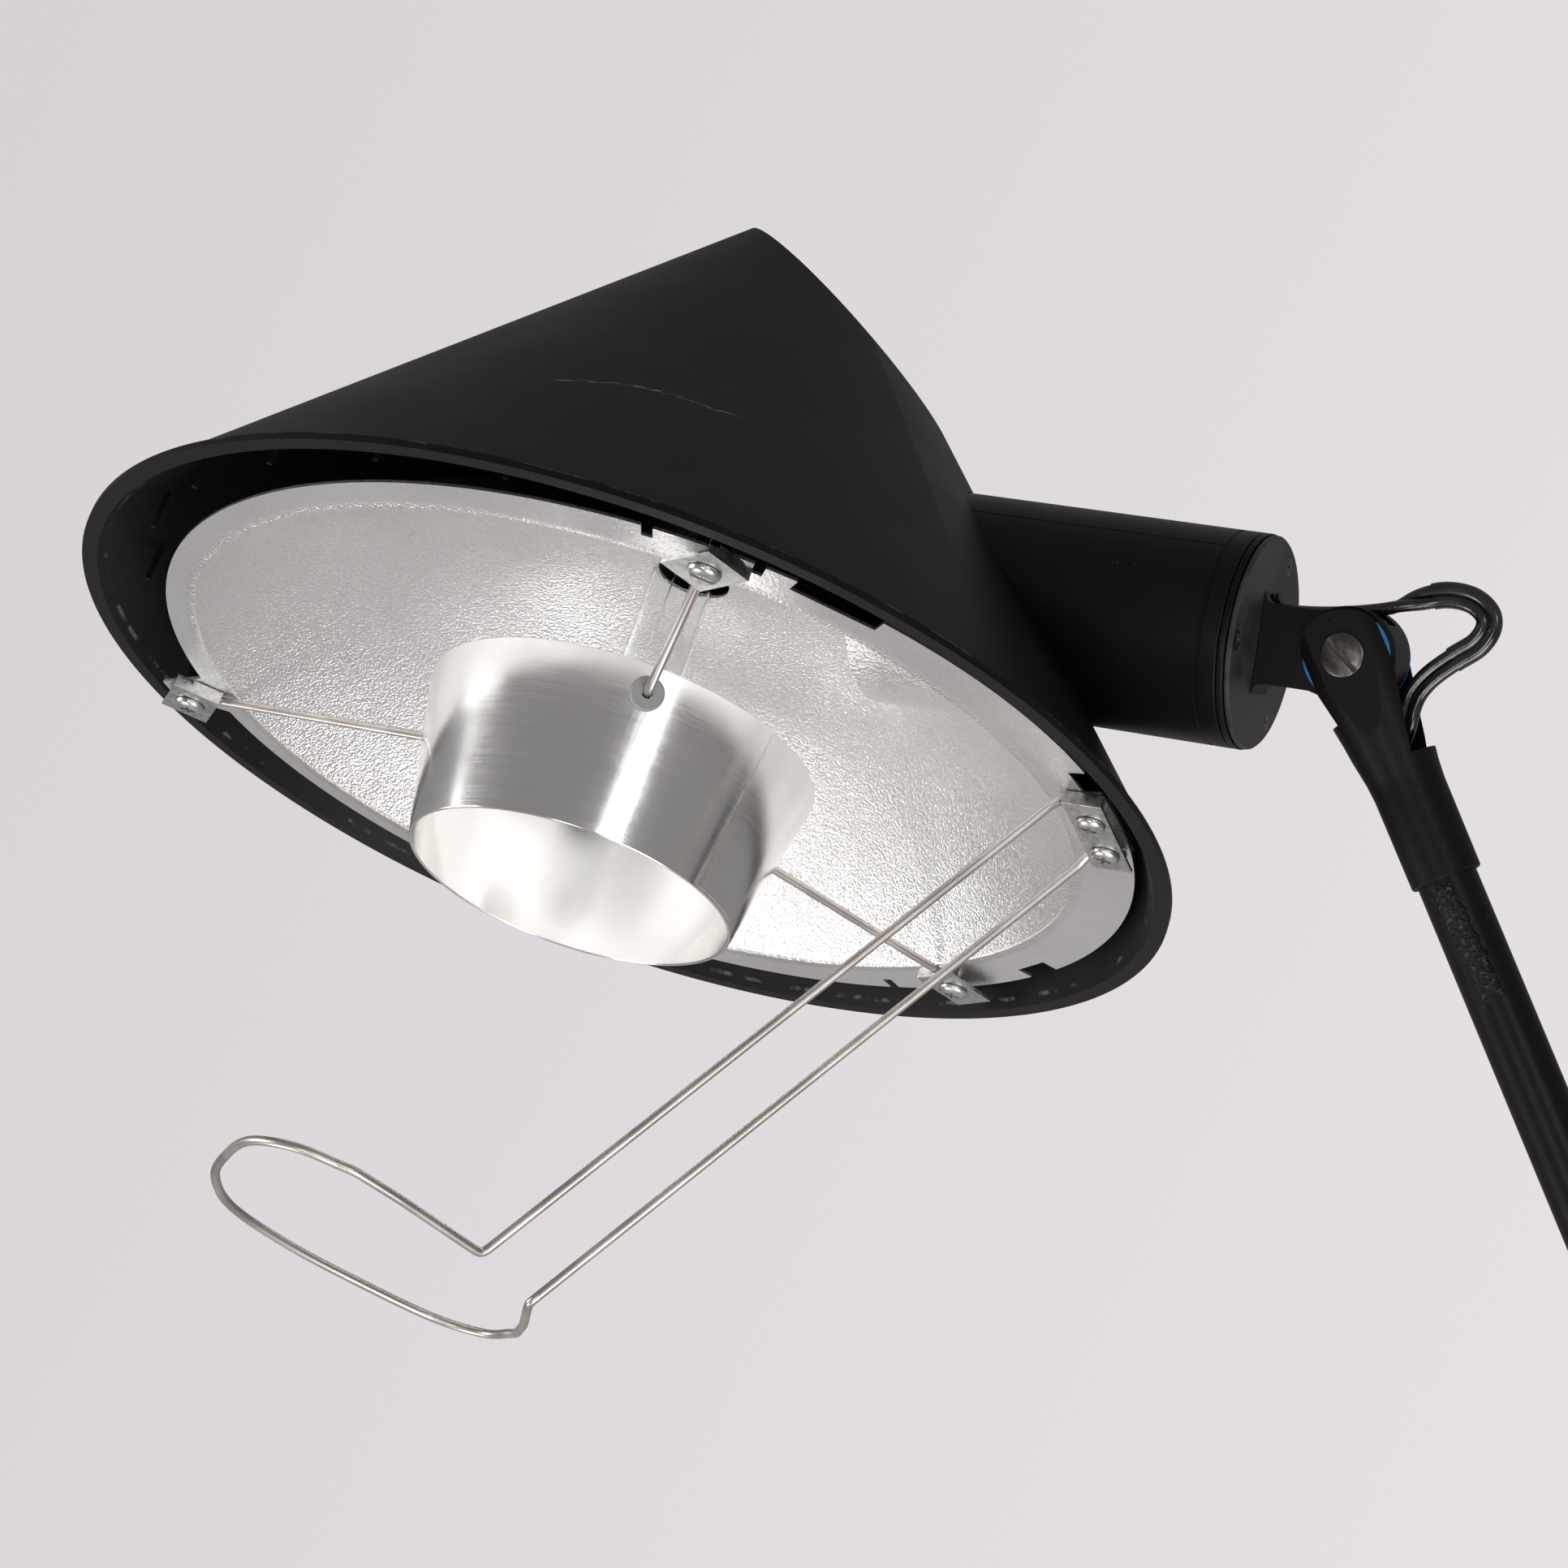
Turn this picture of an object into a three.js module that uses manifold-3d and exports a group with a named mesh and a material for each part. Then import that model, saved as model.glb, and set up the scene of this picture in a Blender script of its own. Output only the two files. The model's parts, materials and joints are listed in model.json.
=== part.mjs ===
// Tripod floor lamp: a black cone shade with an aluminium reflector and an anti-glare ring,
// on a friction knuckle, a leaning arm, a telescopic stem and three folding legs.
// Millimetres, +Z up, standing on Z = 0. The head points towards -X.
import * as THREE from "three";
import { mergeVertices } from "three/addons/utils/BufferGeometryUtils.js";
import Module from "manifold-3d";

const wasm = await Module();
wasm.setup();

// ---- Clearances -------------------------------------------------------------------------------
const gap = 0.3; // between parts that rest against each other
const seat = 0.15; // between a fastener and what it holds
const runningFit = 0.1; // radial, between a pivot and its bore

// ---- Facets round a circle --------------------------------------------------------------------
const wide = 36; // the shade, the reflector and the ring
const middle = 16; // tubes, eyes and collars
const small = 10; // pins, bosses and screw heads
const tiny = 8; // screw holes

// ---- Stand ------------------------------------------------------------------------------------
const legLean = 39; // degrees from upright when the legs are open
const legAzimuths = [180, 60, -60];
const legTubeRadius = 7;
const legTubeWall = 1.2;
const legHingeRadius = 36; // from the stem's axis
const legHingeHeight = 336;
const legTongueHalf = 4; // half its thickness
const legEyeRadius = 8;
const legBoltRadius = 3;
const footRadius = 11;
const footCentreHeight = 8; // above the floor
const footSleeve = 26; // length along the leg
const footWall = 2.6;
const hubWall = 13; // round the stem
const hubBelow = 24; // from the hinge line
const hubAbove = 16;
const lugThickness = 5;
const stemRadius = 11;
const stemWall = 1.4;
const stemBottom = 290;
const stemTop = 610;
const glandRadius = 6;
const glandBore = 3.4;
const collarWall = 4; // round the stem
const collarHeight = 30;
const collarOverStem = 16;
const clampStudRadius = 3;
const clampKnobRadius = 12;
const clampKnobLength = 16;
const mastRadius = 8;
const mastWall = 1.3;
const mastBottom = 430;
const bushHeight = 20;
const elbowHeight = 820; // of the lower pivot

// ---- Arm --------------------------------------------------------------------------------------
const armLean = 23.04; // degrees from upright, towards the head
const armLength = 560; // between the two pivots
const armTubeRadius = 8;
const armTubeWall = 1.2;
const forkLength = 63.2; // from the pivot to the end of its socket
const forkSocketDepth = 22;
const socketWall = 1.45; // round a tube, in a fork or a ferrule
const forkBodyRadius = 13.8;
const forkEarRadius = 12;
const forkEarWall = 3.2;
const forkNeck = 38; // where the body has come down to the socket's radius
const slotFloorFront = 16; // below the pivot
const slotFloorBack = 30;
const cableBore = 4.5;
const tongueHalf = 7; // half its thickness
const tongueEyeRadius = 13;
const washerThickness = 0.9;
const pivotRadius = 3;
const pivotHeadRadius = 5.95;
const pivotHeadHeight = 1;
const pivotSlotWidth = 1.2;
const pivotSlotDepth = 0.6;
const nutRadius = 5.2;
const nutHeight = 4;
const elbowKnobRadius = 15;
const elbowKnobHeight = 14;
const ferruleSocketTop = 52; // above the lower pivot
const ferruleTubeStart = 26;

// ---- Knuckle and head -------------------------------------------------------------------------
const headTilt = 8.93; // degrees, nose down, about the upper pivot
const headRoll = -28.45; // degrees about the housing's axis
const reflectorLean = -1.35; // degrees, against the rim's plane
const housingRadius = 28.95;
const housingWall = 2.5;
const housingInnerEnd = 66; // these four are measured from the shade's centre line
const housingOuterEnd = 165.1;
const capFace = 169;
const pivotReach = 193.6;
const housingHeight = 64.9; // above the rim's plane
const bandWidth = 1.8;
const capThickness = 1.5;
const capInset = 0.35; // the cap inside the housing
const capScrewInset = 4.65;
const capScrewRadius = 1.5;
const capScrewHead = 2.65;
const capScrewLength = 10;
const spigotLength = 15;
const spigotWall = 8;
const tongueRootHalf = 10.6; // half its height where it meets the cap
const tongueFillet = 3;
const cableGrooveHalf = 3.7;
const cableGrooveFloor = 7.1; // above the knuckle's axis
const cableCapHeight = 9;

const rimRadius = 158;
const coneHeight = 189.7; // to the point where the cone would close
const coneLean = 3.6; // the point's offset away from the housing
const lipWidth = 4.5;
const lipHeight = 2;
const shadeWallAcross = 3.65; // measured level
const topSlope = 35.5; // degrees, of the sloping flat top
const topDistance = 128.2; // from the rim's centre to that face
const topPlate = 3;
const ventCount = 5;
const ventPitch = 8;
const ventWidth = 4;
const ventLength = 36;
const ventAlong = -61; // the vents' middle, along the sloping face
const shadeBossRadius = 4.5;

const flangeBottom = 1;
const flangeThickness = 0.8;
const flangeRadius = 139.4;
const flangeOffset = 7.55; // towards the housing
const dishRadius = 128;
const dishOffset = 3;
const dishDepth = 58;
const dishHole = 14; // round the bulb
const sheet = 0.9; // the reflector's thickness
const reliefClearance = 4.05; // round the housing
const reliefEnd = 62;

const ringOffset = -0.8;
const ringTopRadius = 55.9;
const ringTop = 5.4;
const ringFreeRadius = 46.2;
const ringFree = -41.1;
const ringWall = 1;
const grommetHeight = -2.4;
const grommetRadius = 4.75;
const grommetLip = 1.3;
const grommetNeck = 3.2;
const grommetSlack = 0.5; // behind the ring's curved wall
const wireRadius = 1.25;
const wireClearance = 0.25;
const clipCircle = 137.7;
const clipAngles = { a: -60, b: 180, c: 60 };
const clipTurns = { a: 152, b: 129, c: 60 }; // the way each clip's plate runs from its fold
const clipWidth = 14;
const clipLength = 18;
const clipTop = -2;
const clipSheet = 1;
const clipScrewRadius = 1.5;
const clipScrewHead = 4.4;
const clipScrewHeadHeight = 1.9;
const clipScrewLength = 15;
const spokeStart = 3.4; // clear of the clip's screw
const spokeInside = 4; // how far it reaches into the ring

const bracketInner = 135.8;
const bracketOuter = 146.8;
const bracketHalf = 18;
const bracketScrewAt = 141.5;
const bracketScrewPitch = 17.3;
const bracketScrewHead = 4;

const holderRadius = 19.5;
const holderBottom = 72;
const holderTop = 136;
const holderNeck = 7;
const holderBossBottom = 144;
const holderBossRadius = 9;
const bulbCapRadius = 7.5;
const bulbCapTop = 99.7;
const bulbTubeRadius = 9;
const bulbTip = 12; // above the rim's plane
const bulbWall = 1;

const cableThickness = 3.2;
const cableWidth = 6.4;

// ---- Working values ---------------------------------------------------------------------------
const degrees = Math.PI / 180;
const tongueOuter = tongueHalf + gap + washerThickness;
const earInner = tongueOuter + gap;
const forkEarOuter = earInner + forkEarWall; // half the width over the ears
const mastTop = elbowHeight - forkLength + forkSocketDepth - gap;
const armTubeTop = armLength - forkLength + forkSocketDepth - gap;
const coneSlope = rimRadius / coneHeight;
const capBack = capFace - capThickness;
const bandFace = capBack - gap;
const bandBack = bandFace - bandWidth;
const capRadius = housingRadius - capInset;
const capScrewCircle = housingRadius - capScrewInset;
const reliefRadius = housingRadius + reliefClearance;
const hubRadius = stemRadius + hubWall;
const collarRadius = stemRadius + collarWall;
const spigotRadius = housingRadius - housingWall - gap;
const legLength = (legHingeHeight - footCentreHeight) / Math.cos(legLean * degrees);
const wireHeight = flangeBottom - wireRadius - 0.2;
const spokeOuter = clipCircle - spokeStart;
const leanMatrix = new THREE.Matrix4().makeRotationY(reflectorLean * degrees);

// ---- Solids -----------------------------------------------------------------------------------
// Joining and cutting work on closed geometries and give a closed geometry back.
function toSolid(geometry) {
  const bare = geometry.clone();
  bare.deleteAttribute("normal");
  bare.deleteAttribute("uv");
  const merged = mergeVertices(bare, 1e-4);
  const vertProperties = merged.attributes.position.array;
  const triVerts = new Uint32Array(merged.index.array);
  return new wasm.Manifold(new wasm.Mesh({ numProp: 3, vertProperties, triVerts }));
}

function toGeometry(solid) {
  const mesh = solid.getMesh();
  const points = new THREE.BufferAttribute(new Float32Array(mesh.vertProperties), 3);
  const geometry = new THREE.BufferGeometry().setAttribute("position", points);
  geometry.setIndex(new THREE.BufferAttribute(new Uint32Array(mesh.triVerts), 1));
  geometry.computeVertexNormals();
  return geometry;
}

function join(...shapes) {
  return toGeometry(shapes.map(toSolid).reduce((whole, next) => whole.add(next)));
}

function cut(shape, ...tools) {
  return toGeometry(tools.map(toSolid).reduce((rest, tool) => rest.subtract(tool), toSolid(shape)));
}

function common(shape, other) {
  return toGeometry(toSolid(shape).intersect(toSolid(other)));
}

// A round bar along one axis; centre holds the other two coordinates, in X, Y, Z order.
function rod(axis, radius, from, to, centre = [0, 0], { sides = small, endRadius = radius } = {}) {
  const shape = new THREE.CylinderGeometry(endRadius, radius, to - from, sides);
  shape.translate(0, (from + to) / 2, 0);
  if (axis === "x") return shape.rotateZ(-Math.PI / 2).translate(0, ...centre);
  if (axis === "y") return shape.translate(centre[0], 0, centre[1]);
  return shape.rotateX(Math.PI / 2).translate(...centre, 0);
}

// The radius of a faceted bore that a round tube of that radius still turns in.
function turningBore(tubeRadius, sides = middle) {
  return (tubeRadius + runningFit) / Math.cos(Math.PI / sides);
}

function block([x0, x1], [y0, y1], [z0, z1]) {
  const shape = new THREE.BoxGeometry(x1 - x0, y1 - y0, z1 - z0);
  return shape.translate((x0 + x1) / 2, (y0 + y1) / 2, (z0 + z1) / 2);
}

// A turned shape about Z. The profile of [radius, height] pairs runs anticlockwise.
function turned(profile, sides = wide) {
  const points = profile.map(([radius, height]) => new THREE.Vector2(radius, height));
  if (profile.at(-1)[0] !== 0) points.push(points[0].clone());
  return new THREE.LatheGeometry(points, sides).rotateX(Math.PI / 2);
}

// A flat outline in X and Y, given a thickness upwards from height.
function plate(outline, height, thickness) {
  const shape = new THREE.Shape(outline.map(([x, y]) => new THREE.Vector2(x, y)));
  const settings = { depth: thickness, bevelEnabled: false };
  return new THREE.ExtrudeGeometry(shape, settings).translate(0, 0, height);
}

// A route with one cross-section at each of its points.
class Route extends THREE.Curve {
  constructor(points) {
    super();
    this.points = points;
  }
  getPoint(t, target = new THREE.Vector3()) {
    const place = t * (this.points.length - 1);
    const index = Math.min(Math.floor(place), this.points.length - 2);
    return target.lerpVectors(this.points[index], this.points[index + 1], place - index);
  }
  getPointAt(u, target) {
    return this.getPoint(u, target);
  }
  getTangentAt(u, target = new THREE.Vector3()) {
    const step = 0.5 / (this.points.length - 1);
    const before = this.getPoint(Math.max(0, u - step));
    return target.copy(this.getPoint(Math.min(1, u + step))).sub(before).normalize();
  }
}

// Rounds each inner corner of a route of points.
function rounded(points, radius, steps = 3) {
  const route = [points[0]];
  for (let i = 1; i < points.length - 1; i++) {
    const towards = (other) => {
      const leg = other.clone().sub(points[i]);
      return points[i].clone().add(leg.setLength(Math.min(radius, leg.length() * 0.49)));
    };
    const bend = new THREE.QuadraticBezierCurve3(
      towards(points[i - 1]),
      points[i],
      towards(points[i + 1]),
    );
    route.push(...bend.getPoints(steps));
  }
  return [...route, points.at(-1)];
}

function tube(points, width, thickness, sides = 8) {
  const section = new THREE.Shape().absellipse(0, 0, width / 2, thickness / 2, 0, 2 * Math.PI);
  return new THREE.ExtrudeGeometry(section, {
    steps: points.length - 1,
    extrudePath: new Route(points),
    bevelEnabled: false,
    curveSegments: sides / 2,
  });
}

// ---- Finishes ---------------------------------------------------------------------------------
const finishes = {
  satinBlack: [0x17161a, 0.45, 0],
  castBlack: [0x1c1b1e, 0.6, 0],
  cableBlack: [0x0d0d0f, 0.25, 0],
  rubber: [0x151515, 0.85, 0],
  capGrey: [0x55555a, 0.5, 0.6],
  hammered: [0xd8d6d0, 0.32, 1],
  polished: [0xe2e2e2, 0.16, 1],
  zinc: [0xb9bbb5, 0.35, 0.9],
  wire: [0x9b8f82, 0.32, 0.9],
  darkSteel: [0x4a443e, 0.4, 0.9],
  blue: [0x1c64a8, 0.5, 0],
  grommet: [0x8c8f90, 0.7, 0],
  porcelain: [0xe8e4da, 0.4, 0],
  brass: [0xc9c6bd, 0.3, 1],
  glass: [0xf4f2ec, 0.15, 0],
};

function add(group, name, geometry, finish) {
  const [color, roughness, metalness] = finishes[finish];
  const mesh = new THREE.Mesh(geometry, new THREE.MeshStandardMaterial({ color, roughness, metalness }));
  mesh.name = name;
  group.add(mesh);
}

function subgroup(parent, { at = [0, 0, 0], turn = [0, 0, 0] } = {}) {
  const group = new THREE.Group();
  group.position.set(...at);
  group.rotation.set(...turn.map((angle) => angle * degrees));
  parent.add(group);
  return group;
}

// ---- Stand ------------------------------------------------------------------------------------
function hub() {
  const [bottom, top] = [legHingeHeight - hubBelow, legHingeHeight + hubAbove];
  const inner = legTongueHalf + gap;
  const lugs = legAzimuths.flatMap((azimuth) =>
    [1, -1].map((side) => {
      const [near, far] = [inner, inner + lugThickness].map((y) => side * y);
      const span = [Math.min(near, far), Math.max(near, far)];
      const bar = block([hubRadius - 4, legHingeRadius], span, [
        legHingeHeight - legEyeRadius,
        legHingeHeight + legEyeRadius,
      ]);
      const eye = rod("y", legEyeRadius, ...span, [legHingeRadius, legHingeHeight]);
      const bore = rod("y", legBoltRadius + runningFit, span[0] - 1, span[1] + 1, [
        legHingeRadius,
        legHingeHeight,
      ]);
      return cut(join(bar, eye), bore).rotateZ(azimuth * degrees);
    }),
  );
  const bevel = 2;
  const body = turned([
    [0, bottom],
    [hubRadius - bevel, bottom],
    [hubRadius, bottom + bevel],
    [hubRadius, top - bevel],
    [hubRadius - bevel, top],
    [0, top],
  ], middle);
  const bore = rod("z", stemRadius + seat, bottom - 1, top + 1, [0, 0], { sides: middle });
  const inlet = rod("x", glandBore + 1 + seat, 0, hubRadius + 2, [0, legHingeHeight - 12]);
  const clear = legAzimuths.map((azimuth) => {
    const reach = legEyeRadius + gap;
    const pocket = block([legHingeRadius - reach - 6, 60], [-inner, inner], [bottom - 1, top + 1]);
    return cut(pocket, block([0, legHingeRadius - reach], [-20, 20], [bottom - 2, top + 2]))
      .rotateZ(azimuth * degrees);
  });
  return cut(join(body, ...lugs), bore, inlet, ...clear);
}

function leg() {
  const eye = rod("y", legEyeRadius, -legTongueHalf, legTongueHalf);
  const shank = block([-legTongueHalf - 1.5, legTongueHalf + 1.5], [-legTongueHalf, legTongueHalf], [-20, 0]);
  const outer = rod("z", legTubeRadius, -legLength, -13);
  const hollow = rod("z", legTubeRadius - legTubeWall, -legLength - 1, -24);
  const bore = rod("y", legBoltRadius + runningFit, -10, 10, [0, 0], { sides: middle });
  return cut(join(eye, shank, outer), hollow, bore);
}

// A rubber foot whose sole lies flat on the floor when the legs are open.
function foot() {
  const ball = new THREE.SphereGeometry(footRadius, small, 10).rotateX(Math.PI / 2);
  const sleeve = rod("z", footRadius - 0.6, 0, footSleeve, [0, 0], {
    endRadius: legTubeRadius + footWall,
  });
  const pocket = rod("z", legTubeRadius + seat, -seat, footSleeve + 1);
  const floor = block([-40, 40], [-40, 40], [-40, -footCentreHeight]);
  floor.rotateY(legLean * degrees);
  return cut(join(ball, sleeve), pocket, floor).translate(0, 0, -legLength);
}

function legBolt() {
  const reach = legTongueHalf + gap + lugThickness + seat;
  const shank = rod("y", legBoltRadius, -reach - 0.1, reach + 0.1);
  const head = rod("y", 5.4, -reach - 3, -reach, [0, 0], { sides: small });
  const nut = rod("y", 5.6, reach, reach + 4, [0, 0], { sides: 6 });
  const socket = rod("y", 2, -reach - 4, -reach - 1.4, [0, 0], { sides: 6 });
  return cut(join(shank, head, nut), socket);
}

function makeStand(root) {
  add(root, "tripod_hub", hub(), "castBlack");
  legAzimuths.forEach((azimuth, index) => {
    const hinge = subgroup(subgroup(root, { turn: [0, 0, azimuth] }), {
      at: [legHingeRadius, 0, legHingeHeight],
    });
    const opened = subgroup(hinge, { turn: [0, -legLean, 0] });
    add(opened, `leg_${index + 1}`, leg(), "satinBlack");
    add(opened, `foot_${index + 1}`, foot(), "rubber");
    add(hinge, `leg_bolt_${index + 1}`, legBolt(), "darkSteel");
  });
  const stemBore = stemRadius - stemWall;
  const stemTube = cut(
    rod("z", stemRadius, stemBottom, stemTop, [0, 0], { sides: middle }),
    rod("z", stemBore, stemBottom - 1, stemTop + 1, [0, 0], { sides: middle }),
    rod("x", glandBore + 1 + seat, 0, stemRadius + 2, [0, legHingeHeight - 12]),
  );
  add(root, "stem_tube", stemTube, "satinBlack");
  const plug = join(
    rod("z", stemRadius, stemBottom - gap - 4, stemBottom - gap, [0, 0], { sides: middle }),
    rod("z", stemBore - 0.2, stemBottom - gap - 1, stemBottom + 12, [0, 0], { sides: middle }),
  );
  add(root, "stem_plug", plug, "rubber");
  const inletHeight = legHingeHeight - 12;
  const glandLip = rod("x", glandRadius, hubRadius + gap, hubRadius + 5, [0, inletHeight]);
  const glandNeck = rod("x", glandBore + 1, stemBore + 0.5, hubRadius + 1, [0, inletHeight]);
  const glandHole = rod("x", glandBore, 0, hubRadius + 6, [0, inletHeight]);
  add(root, "cable_gland", cut(join(glandLip, glandNeck), glandHole), "rubber");
  const collarBottom = stemTop - collarOverStem;
  const collarTop = collarBottom + collarHeight;
  const studHeight = (stemTop + collarTop) / 2;
  const bossReach = collarRadius + 4;
  const collar = cut(
    join(
      rod("z", collarRadius, collarBottom, collarTop, [0, 0], { sides: middle }),
      rod("x", 6.5, 0, bossReach, [0, studHeight]),
    ),
    rod("z", stemRadius + seat, collarBottom - 1, stemTop + gap, [0, 0], { sides: middle }),
    rod("z", mastRadius + 0.25, collarBottom, collarTop + 1, [0, 0], { sides: middle }),
    rod("x", clampStudRadius + runningFit, 0, bossReach + 1, [0, studHeight], { sides: middle }),
  );
  add(root, "clamp_collar", collar, "castBlack");
  const clamp = subgroup(root, { at: [0, 0, studHeight] });
  const knobStart = bossReach + gap;
  const knob = join(
    rod("x", clampStudRadius, mastRadius + gap, knobStart + 1),
    grip(clampKnobRadius, clampKnobLength).rotateY(Math.PI / 2).translate(knobStart, 0, 0),
  );
  add(clamp, "clamp_knob", knob, "castBlack");
}

// A hand knob along +Z with shallow finger flutes.
function grip(radius, length) {
  const flutes = 8;
  const bevel = 1.5;
  const body = turned([
    [0, 0],
    [radius * 0.62, 0],
    [radius * 0.62, 2],
    [radius - bevel, 3],
    [radius, 3 + bevel],
    [radius, length - bevel],
    [radius - bevel, length],
    [0, length],
  ], middle);
  const scoops = [...Array(flutes).keys()].map((index) =>
    rod("z", radius * 0.22, 2.5, length + 1, [radius * 1.13, 0], { sides: tiny })
      .rotateZ((index * 2 * Math.PI) / flutes),
  );
  return cut(body, ...scoops);
}

// ---- Forks, tongues and their pivots ----------------------------------------------------------
// A fork in its own frame: the pivot runs along Y through the origin, the socket hangs down.
function fork(tubeRadius) {
  const socketRadius = tubeRadius + socketWall;
  const body = turned([
    [0, -forkLength],
    [socketRadius, -forkLength],
    [socketRadius + 0.15, -forkNeck],
    [forkEarOuter - 0.6, -26],
    [forkEarOuter, -21],
    [forkBodyRadius, -7],
    [forkBodyRadius, forkEarRadius + 1],
    [0, forkEarRadius + 1],
  ], middle);
  const ears = join(
    rod("y", forkEarRadius, -forkEarOuter, forkEarOuter, [0, 0], { sides: middle }),
    block([-forkEarRadius, forkEarRadius], [-forkEarOuter, forkEarOuter], [-forkLength - 1, 0]),
  );
  const slot = plate([
    [-30, -slotFloorFront],
    [-3, -slotFloorFront],
    [1, -slotFloorBack],
    [30, -slotFloorBack],
    [30, 30],
    [-30, 30],
  ], -earInner, 2 * earInner).rotateX(Math.PI / 2);
  return cut(
    common(body, ears),
    slot,
    rod("z", turningBore(tubeRadius), -forkLength - 1, -forkLength + forkSocketDepth, [0, 0], {
      sides: middle,
    }),
    rod("z", cableBore, -forkLength, 0),
    rod("y", pivotRadius + runningFit, -30, 30, [0, 0], { sides: middle }),
  );
}

function washer(side) {
  const near = side * (tongueHalf + gap);
  const far = side * tongueOuter;
  const [from, to] = [Math.min(near, far), Math.max(near, far)];
  const disc = rod("y", tongueEyeRadius, from, to, [0, 0], { sides: middle });
  return cut(disc, rod("y", pivotRadius + runningFit, from - 1, to + 1, [0, 0], { sides: middle }));
}

function pivotScrew() {
  const under = -forkEarOuter - seat;
  const face = under - pivotHeadHeight;
  const shank = rod("y", pivotRadius, under - 0.2, forkEarOuter + nutHeight);
  const head = rod("y", pivotHeadRadius - 0.5, face, under, [0, 0], { endRadius: pivotHeadRadius });
  const slot = block(
    [-10, 10],
    [face - 1, face + pivotSlotDepth],
    [-pivotSlotWidth / 2, pivotSlotWidth / 2],
  );
  return cut(join(shank, head), slot.rotateY(37 * degrees));
}

function nut() {
  const from = forkEarOuter + seat;
  const body = rod("y", nutRadius, from, from + nutHeight, [0, 0], { sides: 6 });
  return cut(body, rod("y", pivotRadius + seat, from - 1, from + nutHeight + 1, [0, 0], { sides: middle }));
}

// The arm's lower ferrule: a socket over the tube above a flat tongue around the pivot.
function elbowTongue() {
  const socketRadius = armTubeRadius + socketWall;
  const eye = rod("y", tongueEyeRadius, -tongueHalf, tongueHalf, [0, 0], { sides: middle });
  const web = block([-socketRadius, socketRadius], [-tongueHalf, tongueHalf], [0, 24]);
  const socket = turned([
    [0, 17],
    [socketRadius - 2, 17],
    [socketRadius, 21],
    [socketRadius, ferruleSocketTop - 1],
    [socketRadius - 1, ferruleSocketTop],
    [0, ferruleSocketTop],
  ], middle);
  return cut(
    join(eye, web, socket),
    rod("y", pivotRadius + runningFit, -30, 30, [0, 0], { sides: middle }),
    rod("z", armTubeRadius + seat, ferruleTubeStart, ferruleSocketTop + 1, [0, 0], { sides: middle }),
    rod("z", cableBore, 15, ferruleTubeStart + 1),
    rod("x", cableBore, 0, 30, [0, 19]),
  );
}

function makeElbow(root) {
  const mastBore = mastRadius - mastWall;
  const mast = cut(
    rod("z", mastRadius, mastBottom, mastTop, [0, 0], { sides: middle }),
    rod("z", mastBore, mastBottom - 1, mastTop + 1, [0, 0], { sides: middle }),
  );
  add(root, "mast_tube", mast, "satinBlack");
  const bush = turned([
    [mastRadius + seat, mastBottom],
    [stemRadius - stemWall - 0.2, mastBottom],
    [stemRadius - stemWall - 0.2, mastBottom + bushHeight],
    [mastRadius + seat, mastBottom + bushHeight],
  ], middle);
  add(root, "mast_bush", bush, "rubber");
  const elbow = subgroup(root, { at: [0, 0, elbowHeight] });
  add(elbow, "elbow_fork", fork(mastRadius), "castBlack");
  add(elbow, "elbow_washer_near", washer(-1), "blue");
  add(elbow, "elbow_washer_far", washer(1), "blue");
  add(elbow, "elbow_nut", nut(), "darkSteel");
  const knobStart = -forkEarOuter - gap;
  const knob = join(
    rod("y", pivotRadius, knobStart - 1, forkEarOuter + nutHeight),
    grip(elbowKnobRadius, elbowKnobHeight).rotateX(Math.PI / 2).translate(0, knobStart, 0),
  );
  add(elbow, "elbow_knob", knob, "castBlack");
}

function makeArm(root) {
  const arm = subgroup(root, { at: [0, 0, elbowHeight], turn: [0, -armLean, 0] });
  add(arm, "elbow_tongue", elbowTongue(), "castBlack");
  const armTube = cut(
    rod("z", armTubeRadius, ferruleTubeStart + gap, armTubeTop, [0, 0], { sides: middle }),
    rod("z", armTubeRadius - armTubeWall, 0, armTubeTop + 1, [0, 0], { sides: middle }),
  );
  add(arm, "arm_tube", armTube, "satinBlack");
  const top = subgroup(arm, { at: [0, 0, armLength] });
  add(top, "knuckle_fork", fork(armTubeRadius), "castBlack");
  add(top, "friction_washer_near", washer(-1), "blue");
  add(top, "friction_washer_far", washer(1), "blue");
  add(top, "pivot_screw", pivotScrew(), "darkSteel");
  add(top, "pivot_nut", nut(), "darkSteel");
}

// ---- Knuckle ----------------------------------------------------------------------------------
// The cable's middle line in the arm's plane, across and above the upper pivot.
const cableRoute = [
  [-25.3, 13.1], [-18, 12.3], [-10, 11.7], [-2.4, 11.6], [4, 11.9], [10.3, 12.6],
  [16.8, 14.4], [24.5, 15.6], [31.2, 14.2], [35.3, 10.6], [35.6, 6.6], [32.7, 2.5],
  [27.2, -0.8], [21.5, -4.6], [17.8, -8.1], [15.4, -12], [13.7, -18], [12.6, -24],
  [13.4, -31], [15.9, -37.3],
];

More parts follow.
